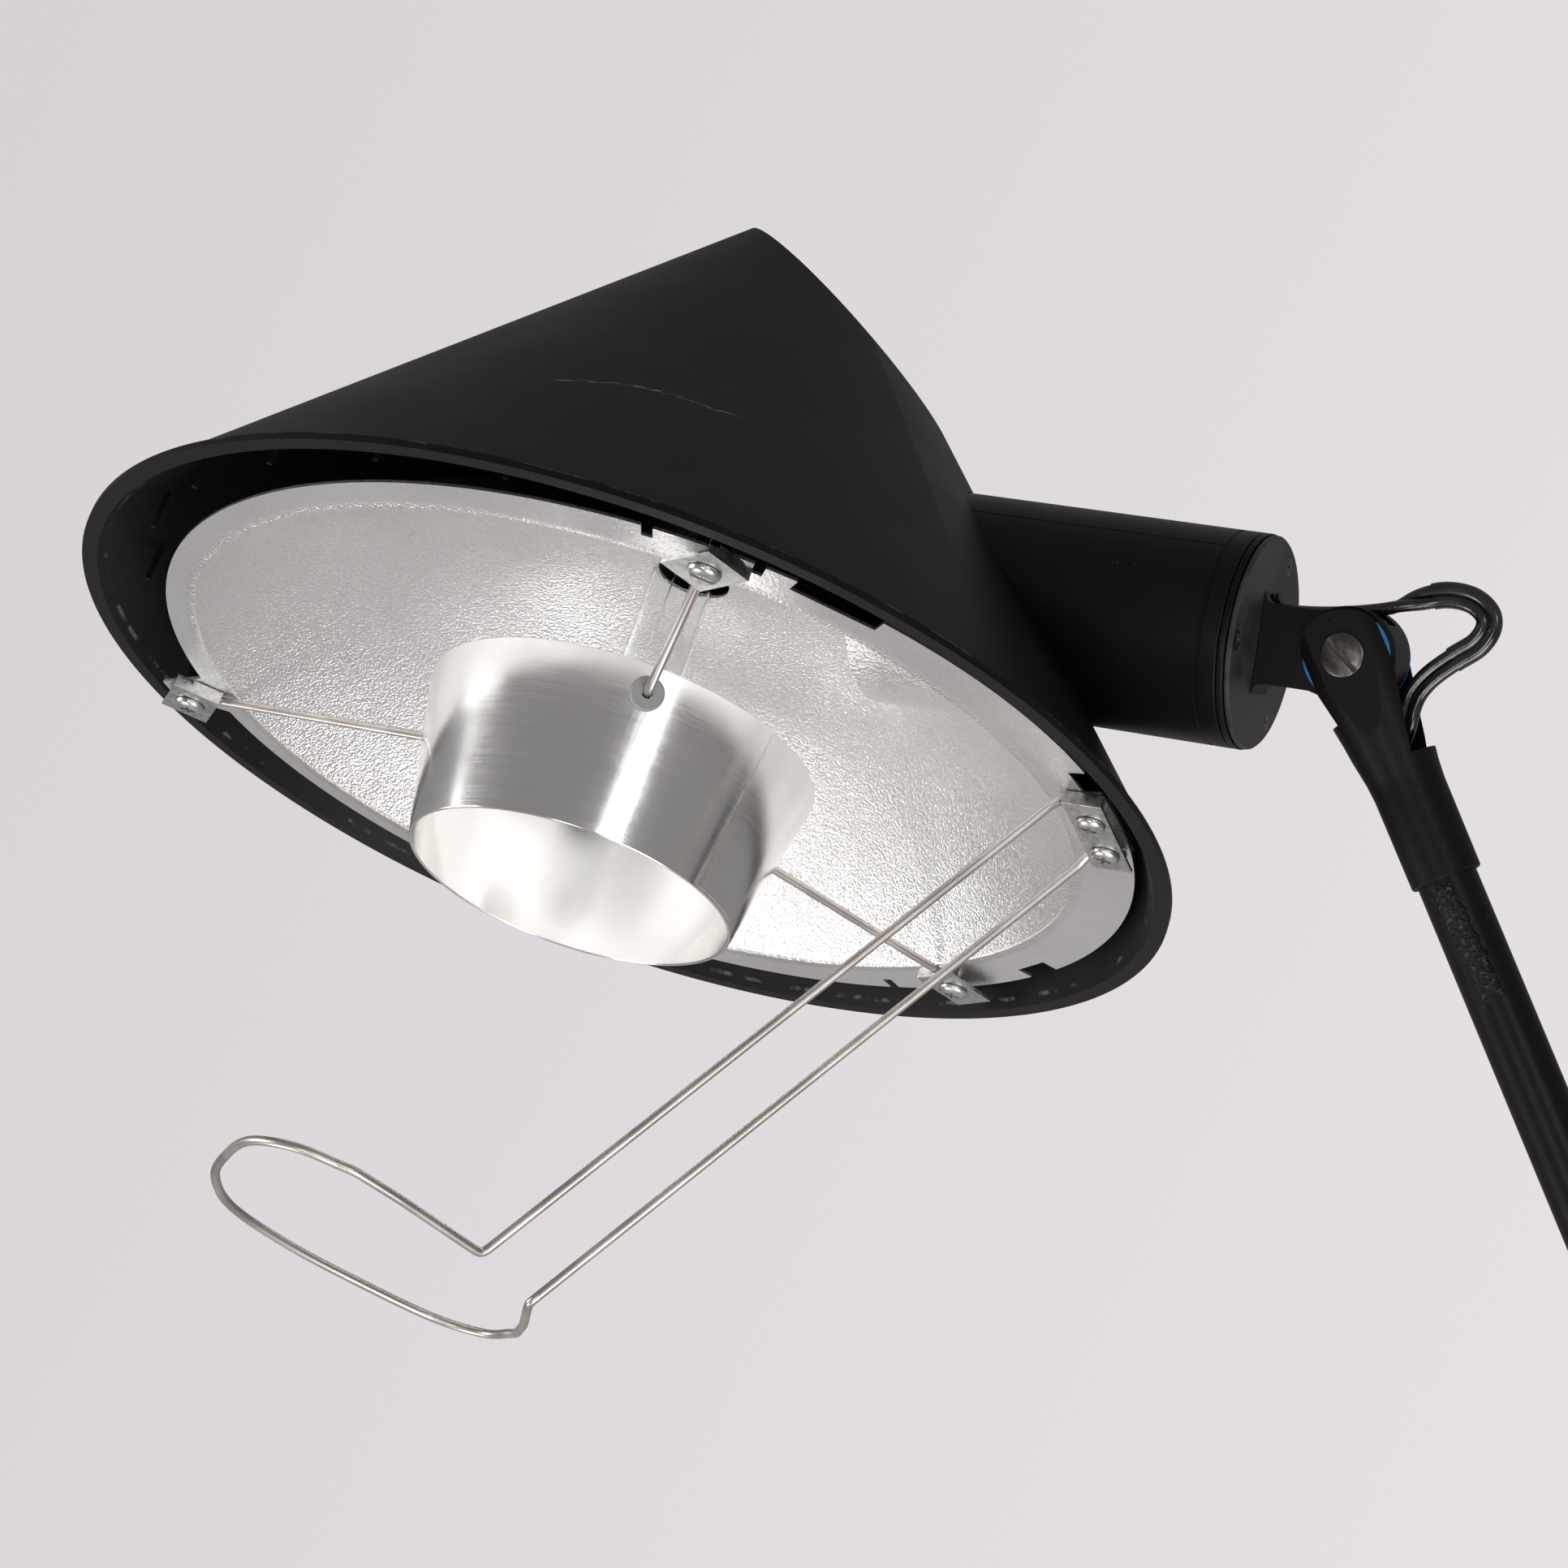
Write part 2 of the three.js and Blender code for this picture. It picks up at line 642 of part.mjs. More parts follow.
function knuckleTongue() {
  const root = capFace - pivotReach + gap;
  const eye = rod("y", tongueEyeRadius, -tongueHalf, tongueHalf, [0, 0], { sides: middle });
  const outline = [
    [root, -tongueRootHalf - tongueFillet],
    [root + 1, -tongueRootHalf - tongueFillet * 0.6],
    [root + tongueFillet, -tongueRootHalf],
    [-9, -tongueRootHalf],
    [0, -tongueEyeRadius + 0.2],
    [0, tongueEyeRadius - 0.2],
    [-9, tongueRootHalf],
    [root + tongueFillet, tongueRootHalf],
    [root + 1, tongueRootHalf + tongueFillet * 0.6],
    [root, tongueRootHalf + tongueFillet],
  ];
  const web = plate(outline, -tongueHalf, 2 * tongueHalf).rotateX(Math.PI / 2);
  const groove = block([root - 1, 9], [-cableGrooveHalf, cableGrooveHalf], [cableGrooveFloor, 30]);
  return cut(join(eye, web), groove, rod("y", pivotRadius + runningFit, -30, 30, [0, 0], { sides: middle }));
}

function capScrewPlaces() {
  return [60, -60, 180].map((angle) => [
    capScrewCircle * Math.cos(angle * degrees),
    capScrewCircle * Math.sin(angle * degrees),
  ]);
}

function swivelBand() {
  const sides = { sides: wide };
  const band = rod("x", housingRadius, bandBack, bandFace, [0, 0], sides);
  const spigot = rod("x", spigotRadius, bandBack - spigotLength, bandBack + 0.5, [0, 0], sides);
  const bore = rod("x", spigotRadius - spigotWall, 0, capFace, [0, 0], sides);
  const holes = capScrewPlaces().map((place) =>
    rod("x", capScrewRadius + seat, capFace - capScrewLength - 1, capFace, place, { sides: tiny }),
  );
  return cut(join(band, spigot), bore, ...holes);
}

function countersunk(radius, headRadius, from, length) {
  const headDepth = headRadius - radius;
  const shank = rod("x", radius, from - length, from - headDepth + 0.05, [0, 0], { sides: small });
  const head = rod("x", radius, from - headDepth, from, [0, 0], { sides: small, endRadius: headRadius });
  return join(shank, head);
}

function endCap() {
  const sides = { sides: wide };
  const edge = 0.4;
  const disc = join(
    rod("x", capRadius, capBack, capFace - edge, [0, 0], sides),
    rod("x", capRadius, capFace - edge, capFace, [0, 0], { sides: wide, endRadius: capRadius - edge }),
  );
  const sinks = capScrewPlaces().map((place) =>
    join(
      countersunk(capScrewRadius + seat, capScrewHead + seat, capFace, 8),
      rod("x", capScrewHead + seat, capFace - 0.01, capFace + 1, [0, 0], { sides: small }),
    ).translate(0, ...place),
  );
  const cableHole = rod("x", 4.2, capBack - 1, capFace + 1, [0, cableCapHeight]);
  return cut(disc, ...sinks, cableHole);
}

function makeKnuckle(knuckle) {
  add(knuckle, "knuckle_tongue", knuckleTongue(), "castBlack");
  const swivel = subgroup(knuckle, { at: [-pivotReach, 0, 0] });
  add(swivel, "swivel_band", swivelBand(), "satinBlack");
  add(swivel, "end_cap", endCap(), "capGrey");
  capScrewPlaces().forEach((place, index) => {
    const screw = countersunk(capScrewRadius, capScrewHead, capFace - 0.05, capScrewLength);
    add(swivel, `cap_screw_${index + 1}`, screw.translate(0, ...place), "darkSteel");
  });
}

function makeCable(root, pivot) {
  const group = subgroup(root, { at: pivot });
  const points = cableRoute.map(([x, z]) => new THREE.Vector3(x, 0, z));
  const smooth = new THREE.CatmullRomCurve3(points, false, "centripetal").getPoints(30);
  add(group, "cable_loop", tube(smooth, cableWidth, cableThickness, 10), "cableBlack");
}

// ---- Shade ------------------------------------------------------------------------------------
// Everything above the sloping flat top, moved down by drop.
function aboveTop(drop = 0) {
  const half = block([-400, 400], [-400, 400], [topDistance - drop, topDistance + 400]);
  return half.rotateY(topSlope * degrees);
}

function leanCone(geometry) {
  const shear = new THREE.Matrix4();
  shear.elements[8] = -coneLean / coneHeight;
  return geometry.applyMatrix4(shear);
}

function shade() {
  const outerAt = (height) => rimRadius - coneSlope * height;
  const flare = 6;
  const top = coneHeight;
  const outer = leanCone(turned([
    [0, 0],
    [rimRadius, 0],
    [rimRadius, lipHeight],
    [outerAt(lipHeight + 0.6), lipHeight + 0.6],
    [0, top],
  ], wide));
  const inner = leanCone(turned([
    [0, -1],
    [rimRadius - lipWidth, -1],
    [rimRadius - lipWidth, 0],
    [outerAt(flare) - shadeWallAcross, flare],
    [0, top - shadeWallAcross / coneSlope],
  ], wide));
  const body = cut(outer, aboveTop());
  const hollow = cut(inner, aboveTop(topPlate));
  const bossBottom = flangeBottom + flangeThickness + gap;
  const clipBosses = Object.values(clipAngles).map((angle) =>
    rod("z", shadeBossRadius, bossBottom, coneHeight, onCircle(clipCircle, angle)),
  );
  const bracketBoss = block([bracketInner, bracketOuter], [-bracketHalf + 3, bracketHalf - 3], [
    bossBottom,
    coneHeight,
  ]);
  const holderBoss = rod("z", holderBossRadius, holderBossBottom, 200);
  const bosses = [...clipBosses, bracketBoss, holderBoss].map((boss) =>
    common(boss.applyMatrix4(leanMatrix), body),
  );
  const screwHoles = [
    ...Object.values(clipAngles).map((angle) => onCircle(clipCircle, angle)),
    ...bracketScrews(),
  ].map((place) =>
    rod("z", clipScrewRadius + seat, bossBottom - 1, clipScrewLength, place, { sides: tiny })
      .applyMatrix4(leanMatrix),
  );
  const housingHole = rod("x", housingRadius + gap, 40, 200, [0, housingHeight], { sides: wide });
  const vents = [...Array(ventCount).keys()].map((index) => {
    const across = (index - (ventCount - 1) / 2) * ventPitch;
    const slot = block(
      [ventAlong - ventLength / 2, ventAlong + ventLength / 2],
      [across - ventWidth / 2, across + ventWidth / 2],
      [topDistance - topPlate - 1, topDistance + 1],
    );
    return slot.rotateY(topSlope * degrees);
  });
  return cut(join(cut(body, hollow), ...bosses), housingHole, ...screwHoles, ...vents);
}

// ---- Reflector --------------------------------------------------------------------------------
function onCircle(radius, angle) {
  return [
    ringOffset + radius * Math.cos(angle * degrees),
    radius * Math.sin(angle * degrees),
  ];
}

function bracketScrews() {
  return [1, -1].map((side) => [bracketScrewAt, (side * bracketScrewPitch) / 2]);
}

function reflector() {
  const ballRadius = (dishRadius ** 2 + dishDepth ** 2) / (2 * dishDepth);
  const heightAt = (radius, extra) =>
    flangeBottom + Math.sqrt((ballRadius + extra) ** 2 - radius ** 2) - (ballRadius - dishDepth);
  const steps = 5;
  const radii = [...Array(steps + 1).keys()].map(
    (index) => dishRadius - ((dishRadius - dishHole) * index) / steps,
  );
  const under = radii.map((radius) => [radius, heightAt(radius, 0)]);
  const over = radii.map((radius) => [radius, heightAt(radius, sheet)]);
  const dish = turned([...over, ...under.reverse()], wide).translate(dishOffset, 0, 0);
  const mound = turned([[0, flangeBottom], ...over, [0, heightAt(0, sheet)]], wide);
  mound.translate(dishOffset, 0, 0);
  const sides = { sides: wide };
  const blister = common(
    rod("x", reliefRadius, reliefEnd, dishRadius + 10, [0, housingHeight], sides),
    mound,
  );
  const relief = rod("x", reliefRadius - sheet, reliefEnd + sheet, dishRadius + 20, [0, housingHeight], sides);
  const flangeTop = flangeBottom + flangeThickness;
  const flange = cut(
    rod("z", flangeRadius, flangeBottom, flangeTop, [flangeOffset, 0], { sides: wide }),
    rod("z", dishRadius - 0.8, flangeBottom - 1, flangeTop + 1, [dishOffset, 0], { sides: wide }),
  );
  const tabReach = clipCircle - ringOffset + 9;
  const tab = plate([
    [-dishRadius + dishOffset - 1, -12],
    [-dishRadius + dishOffset - 1, 12],
    [-tabReach, 4],
    [-tabReach, -4],
  ].reverse(), flangeBottom, flangeThickness);
  const notch = (angle, width, depth) =>
    block([flangeRadius - depth, flangeRadius + 5], [-width / 2, width / 2], [0, 4])
      .rotateZ(angle * degrees)
      .translate(flangeOffset, 0, 0);
  const notches = [
    notch(-70, 3, 5),
    notch(-58, 3, 5),
    notch(-49, 24, 6),
    notch(-10, 11, 5),
    notch(49, 13, 5),
    notch(75, 3, 5),
  ];
  const holes = [
    ...Object.values(clipAngles).map((angle) => onCircle(clipCircle, angle)),
    ...bracketScrews(),
  ].map((place) => rod("z", clipScrewRadius + 0.3, 0, 4, place, { sides: tiny }));
  return cut(join(dish, flange, tab, blister), relief, ...notches, ...holes);
}

function glareRing() {
  const bare = turned([
    [ringFreeRadius - ringWall, ringFree],
    [ringFreeRadius, ringFree],
    [ringTopRadius, ringTop],
    [ringTopRadius - ringWall, ringTop],
  ], wide).translate(ringOffset, 0, 0);
  const holes = Object.values(clipAngles).map((angle) =>
    placeOnRing(rod("z", grommetNeck + seat, -8, 8), angle),
  );
  return cut(bare, ...holes);
}

function ringRadiusAt(height) {
  const share = (height - ringFree) / (ringTop - ringFree);
  return ringFreeRadius + (ringTopRadius - ringFreeRadius) * share;
}

// Moves a shape made about Z onto the ring's outer wall, with +Z pointing out of it.
function placeOnRing(shape, angle) {
  const radius = ringRadiusAt(grommetHeight);
  const wallTilt = Math.atan2(ringTopRadius - ringFreeRadius, ringTop - ringFree);
  return shape
    .rotateY(Math.PI / 2 + wallTilt)
    .translate(radius, 0, grommetHeight)
    .rotateZ(angle * degrees)
    .translate(ringOffset, 0, 0);
}

// A round bar on a spoke's line, which falls from its clip to its grommet.
function spokeTube(angle, startRadius, endRadius, radius) {
  const fall = (wireHeight - grommetHeight) / (spokeOuter - ringRadiusAt(grommetHeight));
  const at = (place) =>
    new THREE.Vector3(...onCircle(place, angle), wireHeight - (spokeOuter - place) * fall);
  return tube([at(startRadius), at(endRadius)], 2 * radius, 2 * radius, 10);
}

function spoke(angle) {
  return spokeTube(angle, spokeOuter, ringRadiusAt(grommetHeight) - spokeInside, wireRadius);
}

function grommet(angle) {
  const inside = -ringWall - grommetSlack;
  const lips = join(
    rod("z", grommetRadius, seat, grommetLip + seat),
    rod("z", grommetRadius, inside - grommetLip, inside),
    rod("z", grommetNeck, inside - 0.5, 1),
  );
  return cut(placeOnRing(lips, angle), spokeTube(angle, 80, 30, wireRadius + wireClearance));
}

function clip(angle, turnAngle) {
  const fold = clipLength / 2;
  const body = join(
    block([-fold, fold], [-clipWidth / 2, clipWidth / 2], [clipTop - clipSheet, clipTop]),
    block([-fold, -fold + clipSheet], [-clipWidth / 2, clipWidth / 2], [clipTop - 0.5, flangeBottom - gap]),
  );
  const hole = rod("z", clipScrewRadius + seat, -9, 9, [0, 0], { sides: tiny });
  const placed = cut(body, hole).rotateZ(turnAngle * degrees).translate(...onCircle(clipCircle, angle), 0);
  const passage = spokeTube(angle, clipCircle + 12, 90, wireRadius + wireClearance);
  return cut(placed, passage);
}

function panScrew(headRadius) {
  const under = clipTop - clipSheet - seat;
  const top = under - clipScrewHeadHeight;
  const shank = rod("z", clipScrewRadius, under - 0.3, clipScrewLength - 1, [0, 0], { sides: small });
  const head = turned([
    [0, top],
    [headRadius - 1.3, top],
    [headRadius - 0.3, top + 0.7],
    [headRadius, under],
    [0, under],
  ], small);
  return join(shank, head);
}

function handleBracket() {
  const span = [bracketInner, bracketOuter];
  const body = join(
    block(span, [-bracketHalf, bracketHalf], [clipTop - clipSheet, clipTop]),
    block(span, [-bracketHalf - clipSheet, -bracketHalf], [clipTop - clipSheet, flangeBottom - gap]),
  );
  const holes = bracketScrews().map((place) =>
    rod("z", clipScrewRadius + seat, -9, 9, place, { sides: tiny }),
  );
  return cut(body, ...holes);
}

// The handle is one bent wire, the same on both sides: under the bracket, down two long
// straights, and round a hand loop.
function handleWire() {
  const held = [[145.5, 12.4], [138.8, 13.2], [134.6, 15.4]];
  const top = held.map(([x, y]) =>
    new THREE.Vector3(x, y, wireHeight).applyMatrix4(leanMatrix),
  );
  const straights = [[132.3, 16.9, -0.4], [24.3, 17.5, -151.5]];
  const loop = [[19.5, 27.3, -151], [11.4, 44.5, -150.2], [3.8, 57.5, -149.6]];
  const bow = [[-10, 66, -149.5], [-25, 62.4, -149.5], [-41, 44.5, -149.5], [-54, 24, -149.5]];
  const toPoints = (list) => list.map((place) => new THREE.Vector3(...place));
  const half = [...rounded([...top, ...toPoints(straights), ...toPoints(loop)], 4), ...toPoints(bow)];
  const tip = new THREE.Vector3(-60.5, 0, -149.5);
  const mirrored = half.map((point) => new THREE.Vector3(point.x, -point.y, point.z)).reverse();
  const stiff = half.length - bow.length - 1;
  const bowCurve = new THREE.CatmullRomCurve3(
    [...half.slice(stiff), tip, ...mirrored.slice(0, bow.length + 1)],
    false,
    "centripetal",
  ).getPoints(24);
  const points = [...half.slice(0, stiff), ...bowCurve, ...mirrored.slice(bow.length + 1)];
  return tube(points, 2 * wireRadius, 2 * wireRadius, 6);
}

function lampholder() {
  const body = turned([
    [0, holderBottom],
    [holderRadius - 1, holderBottom],
    [holderRadius, holderBottom + 1],
    [holderRadius, holderBottom + 22],
    [holderRadius - 2, holderBottom + 24],
    [holderRadius - 2, holderTop - 6],
    [holderNeck, holderTop],
    [holderNeck, holderBossBottom - gap],
    [0, holderBossBottom - gap],
  ], middle);
  const socket = rod("z", bulbCapRadius + 0.4, holderBottom - 1, bulbCapTop + gap);
  const wireWay = rod("x", 3, 0, 30, [0, holderTop - 14], { sides: tiny });
  return cut(body, socket, wireWay);
}

// A tubular bulb with a round tip, open at the top where its cap closes it.
function bulbGlass() {
  const top = holderBottom - gap;
  const quarter = 4;
  const wall = (radius) => [
    ...[...Array(quarter + 1).keys()].map((index) => {
      const angle = (-90 * degrees * (quarter - index)) / quarter;
      const across = index === 0 ? 0 : radius * Math.cos(angle);
      return [across, bulbTip + bulbTubeRadius + radius * Math.sin(angle)];
    }),
    [radius, top],
  ];
  return turned([...wall(bulbTubeRadius), ...wall(bulbTubeRadius - bulbWall).reverse()], middle);
}

function bulbCap() {
  return join(
    rod("z", bulbCapRadius, holderBottom, bulbCapTop - 4),
    rod("z", bulbCapRadius, bulbCapTop - 4.1, bulbCapTop - 0.5, [0, 0], { endRadius: 5.5 }),
    rod("z", 5, bulbCapTop - 1, bulbCapTop),
  );
}

function housing() {
  const sides = { sides: wide };
  return cut(
    rod("x", housingRadius, housingInnerEnd, housingOuterEnd, [0, housingHeight], sides),
    rod("x", housingRadius - housingWall, housingInnerEnd + 3, 200, [0, housingHeight], sides),
    rod("x", 4, 0, 100, [0, housingHeight + 14]),
  );
}

function makeHead(knuckle) {
  const rolled = subgroup(knuckle, { turn: [headRoll, 0, 0] });
  const head = subgroup(rolled, { at: [-pivotReach, 0, -housingHeight] });
  add(head, "housing", housing(), "satinBlack");
  add(head, "shade", shade(), "satinBlack");
  add(head, "handle_wire", handleWire(), "wire");
  const inner = subgroup(head, { turn: [0, reflectorLean, 0] });
  add(inner, "reflector", reflector(), "hammered");
  add(inner, "glare_ring", glareRing(), "polished");
  Object.entries(clipAngles).forEach(([letter, angle]) => {
    add(inner, `grommet_${letter}`, grommet(angle), "grommet");
    add(inner, `spoke_${letter}`, spoke(angle), "wire");
    add(inner, `clip_${letter}`, clip(angle, clipTurns[letter]), "zinc");
    const place = onCircle(clipCircle, angle);
    add(inner, `clip_screw_${letter}`, panScrew(clipScrewHead).translate(...place, 0), "zinc");
  });
  add(inner, "handle_bracket", handleBracket(), "zinc");
  bracketScrews().forEach((place, index) => {
    const screw = panScrew(bracketScrewHead).translate(...place, 0);
    add(inner, `handle_screw_${index + 1}`, screw, "zinc");
  });
  add(inner, "lampholder", lampholder(), "porcelain");
  add(inner, "bulb_cap", bulbCap(), "brass");
  add(inner, "bulb_glass", bulbGlass(), "glass");
}

// ---- The lamp ---------------------------------------------------------------------------------
// It is built on the stem's axis, then moved so that the origin is on the floor under the middle
// of its outer box.
const lamp = new THREE.Group();
const standing = subgroup(lamp);
const upperPivot = [
  -armLength * Math.sin(armLean * degrees),
  0,
  elbowHeight + armLength * Math.cos(armLean * degrees),
];
makeStand(standing);
makeElbow(standing);
makeArm(standing);
makeCable(standing, upperPivot);
const knuckle = subgroup(standing, { at: upperPivot, turn: [0, headTilt, 0] });
makeKnuckle(knuckle);
makeHead(knuckle);
const outline = new THREE.Box3().setFromObject(lamp, true);
const centre = outline.getCenter(new THREE.Vector3());
standing.position.set(-centre.x, -centre.y, 0);

export default lamp;
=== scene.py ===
"""Builds the fine, visible pieces of a tripod floor lamp over its CAD model."""

import json
import math

import bmesh
import bpy
from bpy.props import FloatProperty, FloatVectorProperty, PointerProperty
from mathutils import Matrix, Vector
from mathutils.geometry import interpolate_bezier


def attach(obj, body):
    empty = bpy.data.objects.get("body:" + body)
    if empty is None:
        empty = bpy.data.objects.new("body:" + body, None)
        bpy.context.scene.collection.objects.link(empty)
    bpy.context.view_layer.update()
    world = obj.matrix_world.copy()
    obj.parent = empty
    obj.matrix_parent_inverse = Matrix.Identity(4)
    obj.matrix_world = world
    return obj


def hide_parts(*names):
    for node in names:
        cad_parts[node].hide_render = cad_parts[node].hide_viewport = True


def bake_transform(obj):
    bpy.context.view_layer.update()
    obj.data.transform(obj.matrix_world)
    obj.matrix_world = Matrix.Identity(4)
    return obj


bl_info = {
    "name": "Tripod Floor Lamp",
    "version": (1, 0, 0),
    "blender": (4, 5, 0),
    "location": "3D View > Sidebar > Lamp",
    "description": "Adds the pieces of a tripod floor lamp with a cone shade",
    "category": "Object",
}

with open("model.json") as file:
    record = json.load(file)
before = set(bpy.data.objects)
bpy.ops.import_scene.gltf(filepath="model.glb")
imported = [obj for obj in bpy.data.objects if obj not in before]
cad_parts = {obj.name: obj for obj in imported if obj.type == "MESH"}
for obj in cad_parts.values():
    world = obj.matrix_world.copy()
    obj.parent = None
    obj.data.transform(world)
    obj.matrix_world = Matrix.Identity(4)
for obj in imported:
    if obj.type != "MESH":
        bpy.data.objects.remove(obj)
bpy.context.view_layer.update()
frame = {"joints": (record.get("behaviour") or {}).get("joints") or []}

# Sizes are in millimetres, in each piece's own frame, unless a name says otherwise.
METRES = 0.001
CIRCLE = 128
LEG_AZIMUTHS = (180, 60, -60)
CLIP_ANGLES = {"a": -60, "b": 180, "c": 60}
CLIP_TURNS = {"a": 152, "b": 129, "c": 60}
CAP_SCREW_ANGLES = (60, -60, 180)
HEAD_ROLL = -28.45
REFLECTOR_LEAN = -1.35
PIVOT_REACH = 193.6
HOUSING_HEIGHT = 64.9
RIM_RADIUS = 158
CONE_HEIGHT = 189.7
CONE_LEAN = 3.6
TOP_SLOPE = 35.5
TOP_DISTANCE = 128.2
WIRE_HEIGHT = -0.45
CLIP_CIRCLE = 137.7
SPOKE_START = CLIP_CIRCLE - 3.4
HANDLE_SCREWS = ((141.5, 8.65), (141.5, -8.65))
BRACKET_SPAN = (135.8, 146.8)
RING_OFFSET = -0.8
GROMMET_HEIGHT = -2.4
GROMMET_CIRCLE = 54.3
TONGUE_HALF = 7
EAR_INNER = 8.5
EAR_OUTER = 11.7
FORK_LENGTH = 63.2
TUBE_RADIUS = 8
PIVOT_BORE = 3.1
LEG_LEAN = 39
HINGE_HEIGHT = 336
HINGE_RADIUS = 36
GLAND_HEIGHT = HINGE_HEIGHT - 12
CLAMP_HEIGHT = 617
# A line across the shade: its normal in X and Y, its distance, the middle in X, half its run.
SCRATCH = (-0.386, 0.9225, -108.8, 28.0, 27.0)
CAMERA_OFFSET = (271.5, -975.2, -33.5)
CAMERA_YAW = 24.06
CAMERA_LENS = 87.58


# ---- Frames -------------------------------------------------------------------------------------
def shift(x=0.0, y=0.0, z=0.0):
    return Matrix.Translation((x, y, z))


def turn(axis, angle):
    return Matrix.Rotation(math.radians(angle), 4, axis)


def read_frames(joints):
    """The pieces' frames, in millimetres, from where the CAD model puts its joints."""
    found = {joint["name"]: joint for joint in joints}
    upper = Vector(found["head_tilt"]["pos_m"]) / METRES
    lower = Vector(found["arm_tilt"]["pos_m"]) / METRES
    lean = math.degrees(math.atan2(lower.x - upper.x, upper.z - lower.z))
    axis = Vector(found["head_swivel"]["axis"])
    axis *= math.copysign(1, axis.x)
    stem = shift(lower.x, lower.y)
    arm = Matrix.Translation(lower) @ turn("Y", -lean)
    knuckle = Matrix.Translation(upper) @ turn("Y", math.degrees(-math.asin(axis.z)))
    swivel = knuckle @ shift(-PIVOT_REACH)
    head = knuckle @ turn("X", HEAD_ROLL) @ shift(-PIVOT_REACH, 0, -HOUSING_HEIGHT)
    frames = {
        "stem": stem,
        "lower": Matrix.Translation(lower),
        "upper": Matrix.Translation(upper),
        "arm": arm,
        "arm_top": arm @ shift(z=(upper - lower).length),
        "knuckle": knuckle,
        "swivel": swivel,
        "head": head,
        "inner": head @ turn("Y", REFLECTOR_LEAN),
    }
    for index, azimuth in enumerate(LEG_AZIMUTHS):
        hinge = stem @ turn("Z", azimuth) @ shift(HINGE_RADIUS, 0, HINGE_HEIGHT)
        frames[f"hinge_{index + 1}"] = hinge
        frames[f"leg_{index + 1}"] = hinge @ turn("Y", -LEG_LEAN)
    return frames


def on_circle(radius, angle):
    across = math.radians(angle)
    return RING_OFFSET + radius * math.cos(across), radius * math.sin(across)


# ---- Modelling ----------------------------------------------------------------------------------
class Form:
    """A closed shape under construction, in millimetres."""

    def __init__(self, mesh=None):
        self.mesh = mesh or bmesh.new()

    def moved(self, matrix):
        bmesh.ops.transform(self.mesh, matrix=matrix, verts=self.mesh.verts)
        if matrix.determinant() < 0:
            bmesh.ops.reverse_faces(self.mesh, faces=self.mesh.faces)
        return self

    def closed(self):
        bmesh.ops.remove_doubles(self.mesh, verts=self.mesh.verts, dist=1e-4)
        bmesh.ops.recalc_face_normals(self.mesh, faces=self.mesh.faces)
        return self

    def softened(self, width, segments=3, angle=28):
        """Rounds every edge that turns by more than angle."""
        limit = math.radians(angle)
        edges = [
            edge
            for edge in self.mesh.edges
            if len(edge.link_faces) == 2 and edge.calc_face_angle(0) > limit
        ]
        bmesh.ops.bevel(
            self.mesh,
            geom=edges,
            offset=width,
            segments=segments,
            profile=0.5,
            affect="EDGES",
            clamp_overlap=True,
            material=-1,
        )
        return self

    def carved(self, *tools, operation="DIFFERENCE"):
        """Takes the tools away from this shape, joins them to it or keeps what is common."""
        body = self.temporary()
        helpers = [tool.temporary() for tool in tools]
        for helper in helpers:
            modifier = body.modifiers.new("carve", "BOOLEAN")
            modifier.operation = operation
            modifier.solver = "EXACT"
            modifier.object = helper
        result = Form(evaluated(body))
        for helper in helpers:
            bpy.data.objects.remove(helper)
        return result.closed()

    def joined(self, *others):
        return self.carved(*others, operation="UNION")

    def common(self, other):
        return self.carved(other, operation="INTERSECT")

    def beside(self, *others):
        """Adds the other shapes to this one without joining their surfaces."""
        for other in others:
            data = bpy.data.meshes.new("part")
            other.mesh.to_mesh(data)
            self.mesh.from_mesh(data)
            bpy.data.meshes.remove(data)
            other.mesh.free()
        return self

    def temporary(self):
        data = bpy.data.meshes.new("part")
        self.mesh.to_mesh(data)
        self.mesh.free()
        made = bpy.data.objects.new("part", data)
        bpy.context.scene.collection.objects.link(made)
        return made


def evaluated(source):
    """The mesh of an object with its modifiers applied. The object is removed."""
    bpy.context.view_layer.update()
    graph = bpy.context.evaluated_depsgraph_get()
    data = bpy.data.meshes.new_from_object(source.evaluated_get(graph))
    mesh = bmesh.new()
    mesh.from_mesh(data)
    bpy.data.meshes.remove(data)
    bpy.data.objects.remove(source)
    return mesh


def turned(profile, steps=CIRCLE, arc=360):
    """Spins an outline of [radius, height] pairs about Z; a full turn closes on itself."""
    mesh = bmesh.new()
    verts = [mesh.verts.new((radius, 0, height)) for radius, height in profile]
    ends = verts[1:] + (verts[:1] if profile[0][0] or profile[-1][0] else [])
    edges = [mesh.edges.new(pair) for pair in zip(verts, ends)]
    if arc < 360:
        face = mesh.faces.new(verts)
        bmesh.ops.spin(
            mesh, geom=[face], cent=(0, 0, 0), axis=(0, 0, 1),
            angle=math.radians(arc), steps=steps, use_merge=False,
        )
        return Form(mesh).closed()
    bmesh.ops.spin(
        mesh, geom=verts + edges, cent=(0, 0, 0), axis=(0, 0, 1),
        angle=2 * math.pi, steps=steps, use_merge=True,
    )
    return Form(mesh).closed()


AXES = {"x": turn("Y", 90), "y": turn("X", -90), "z": Matrix.Identity(4)}


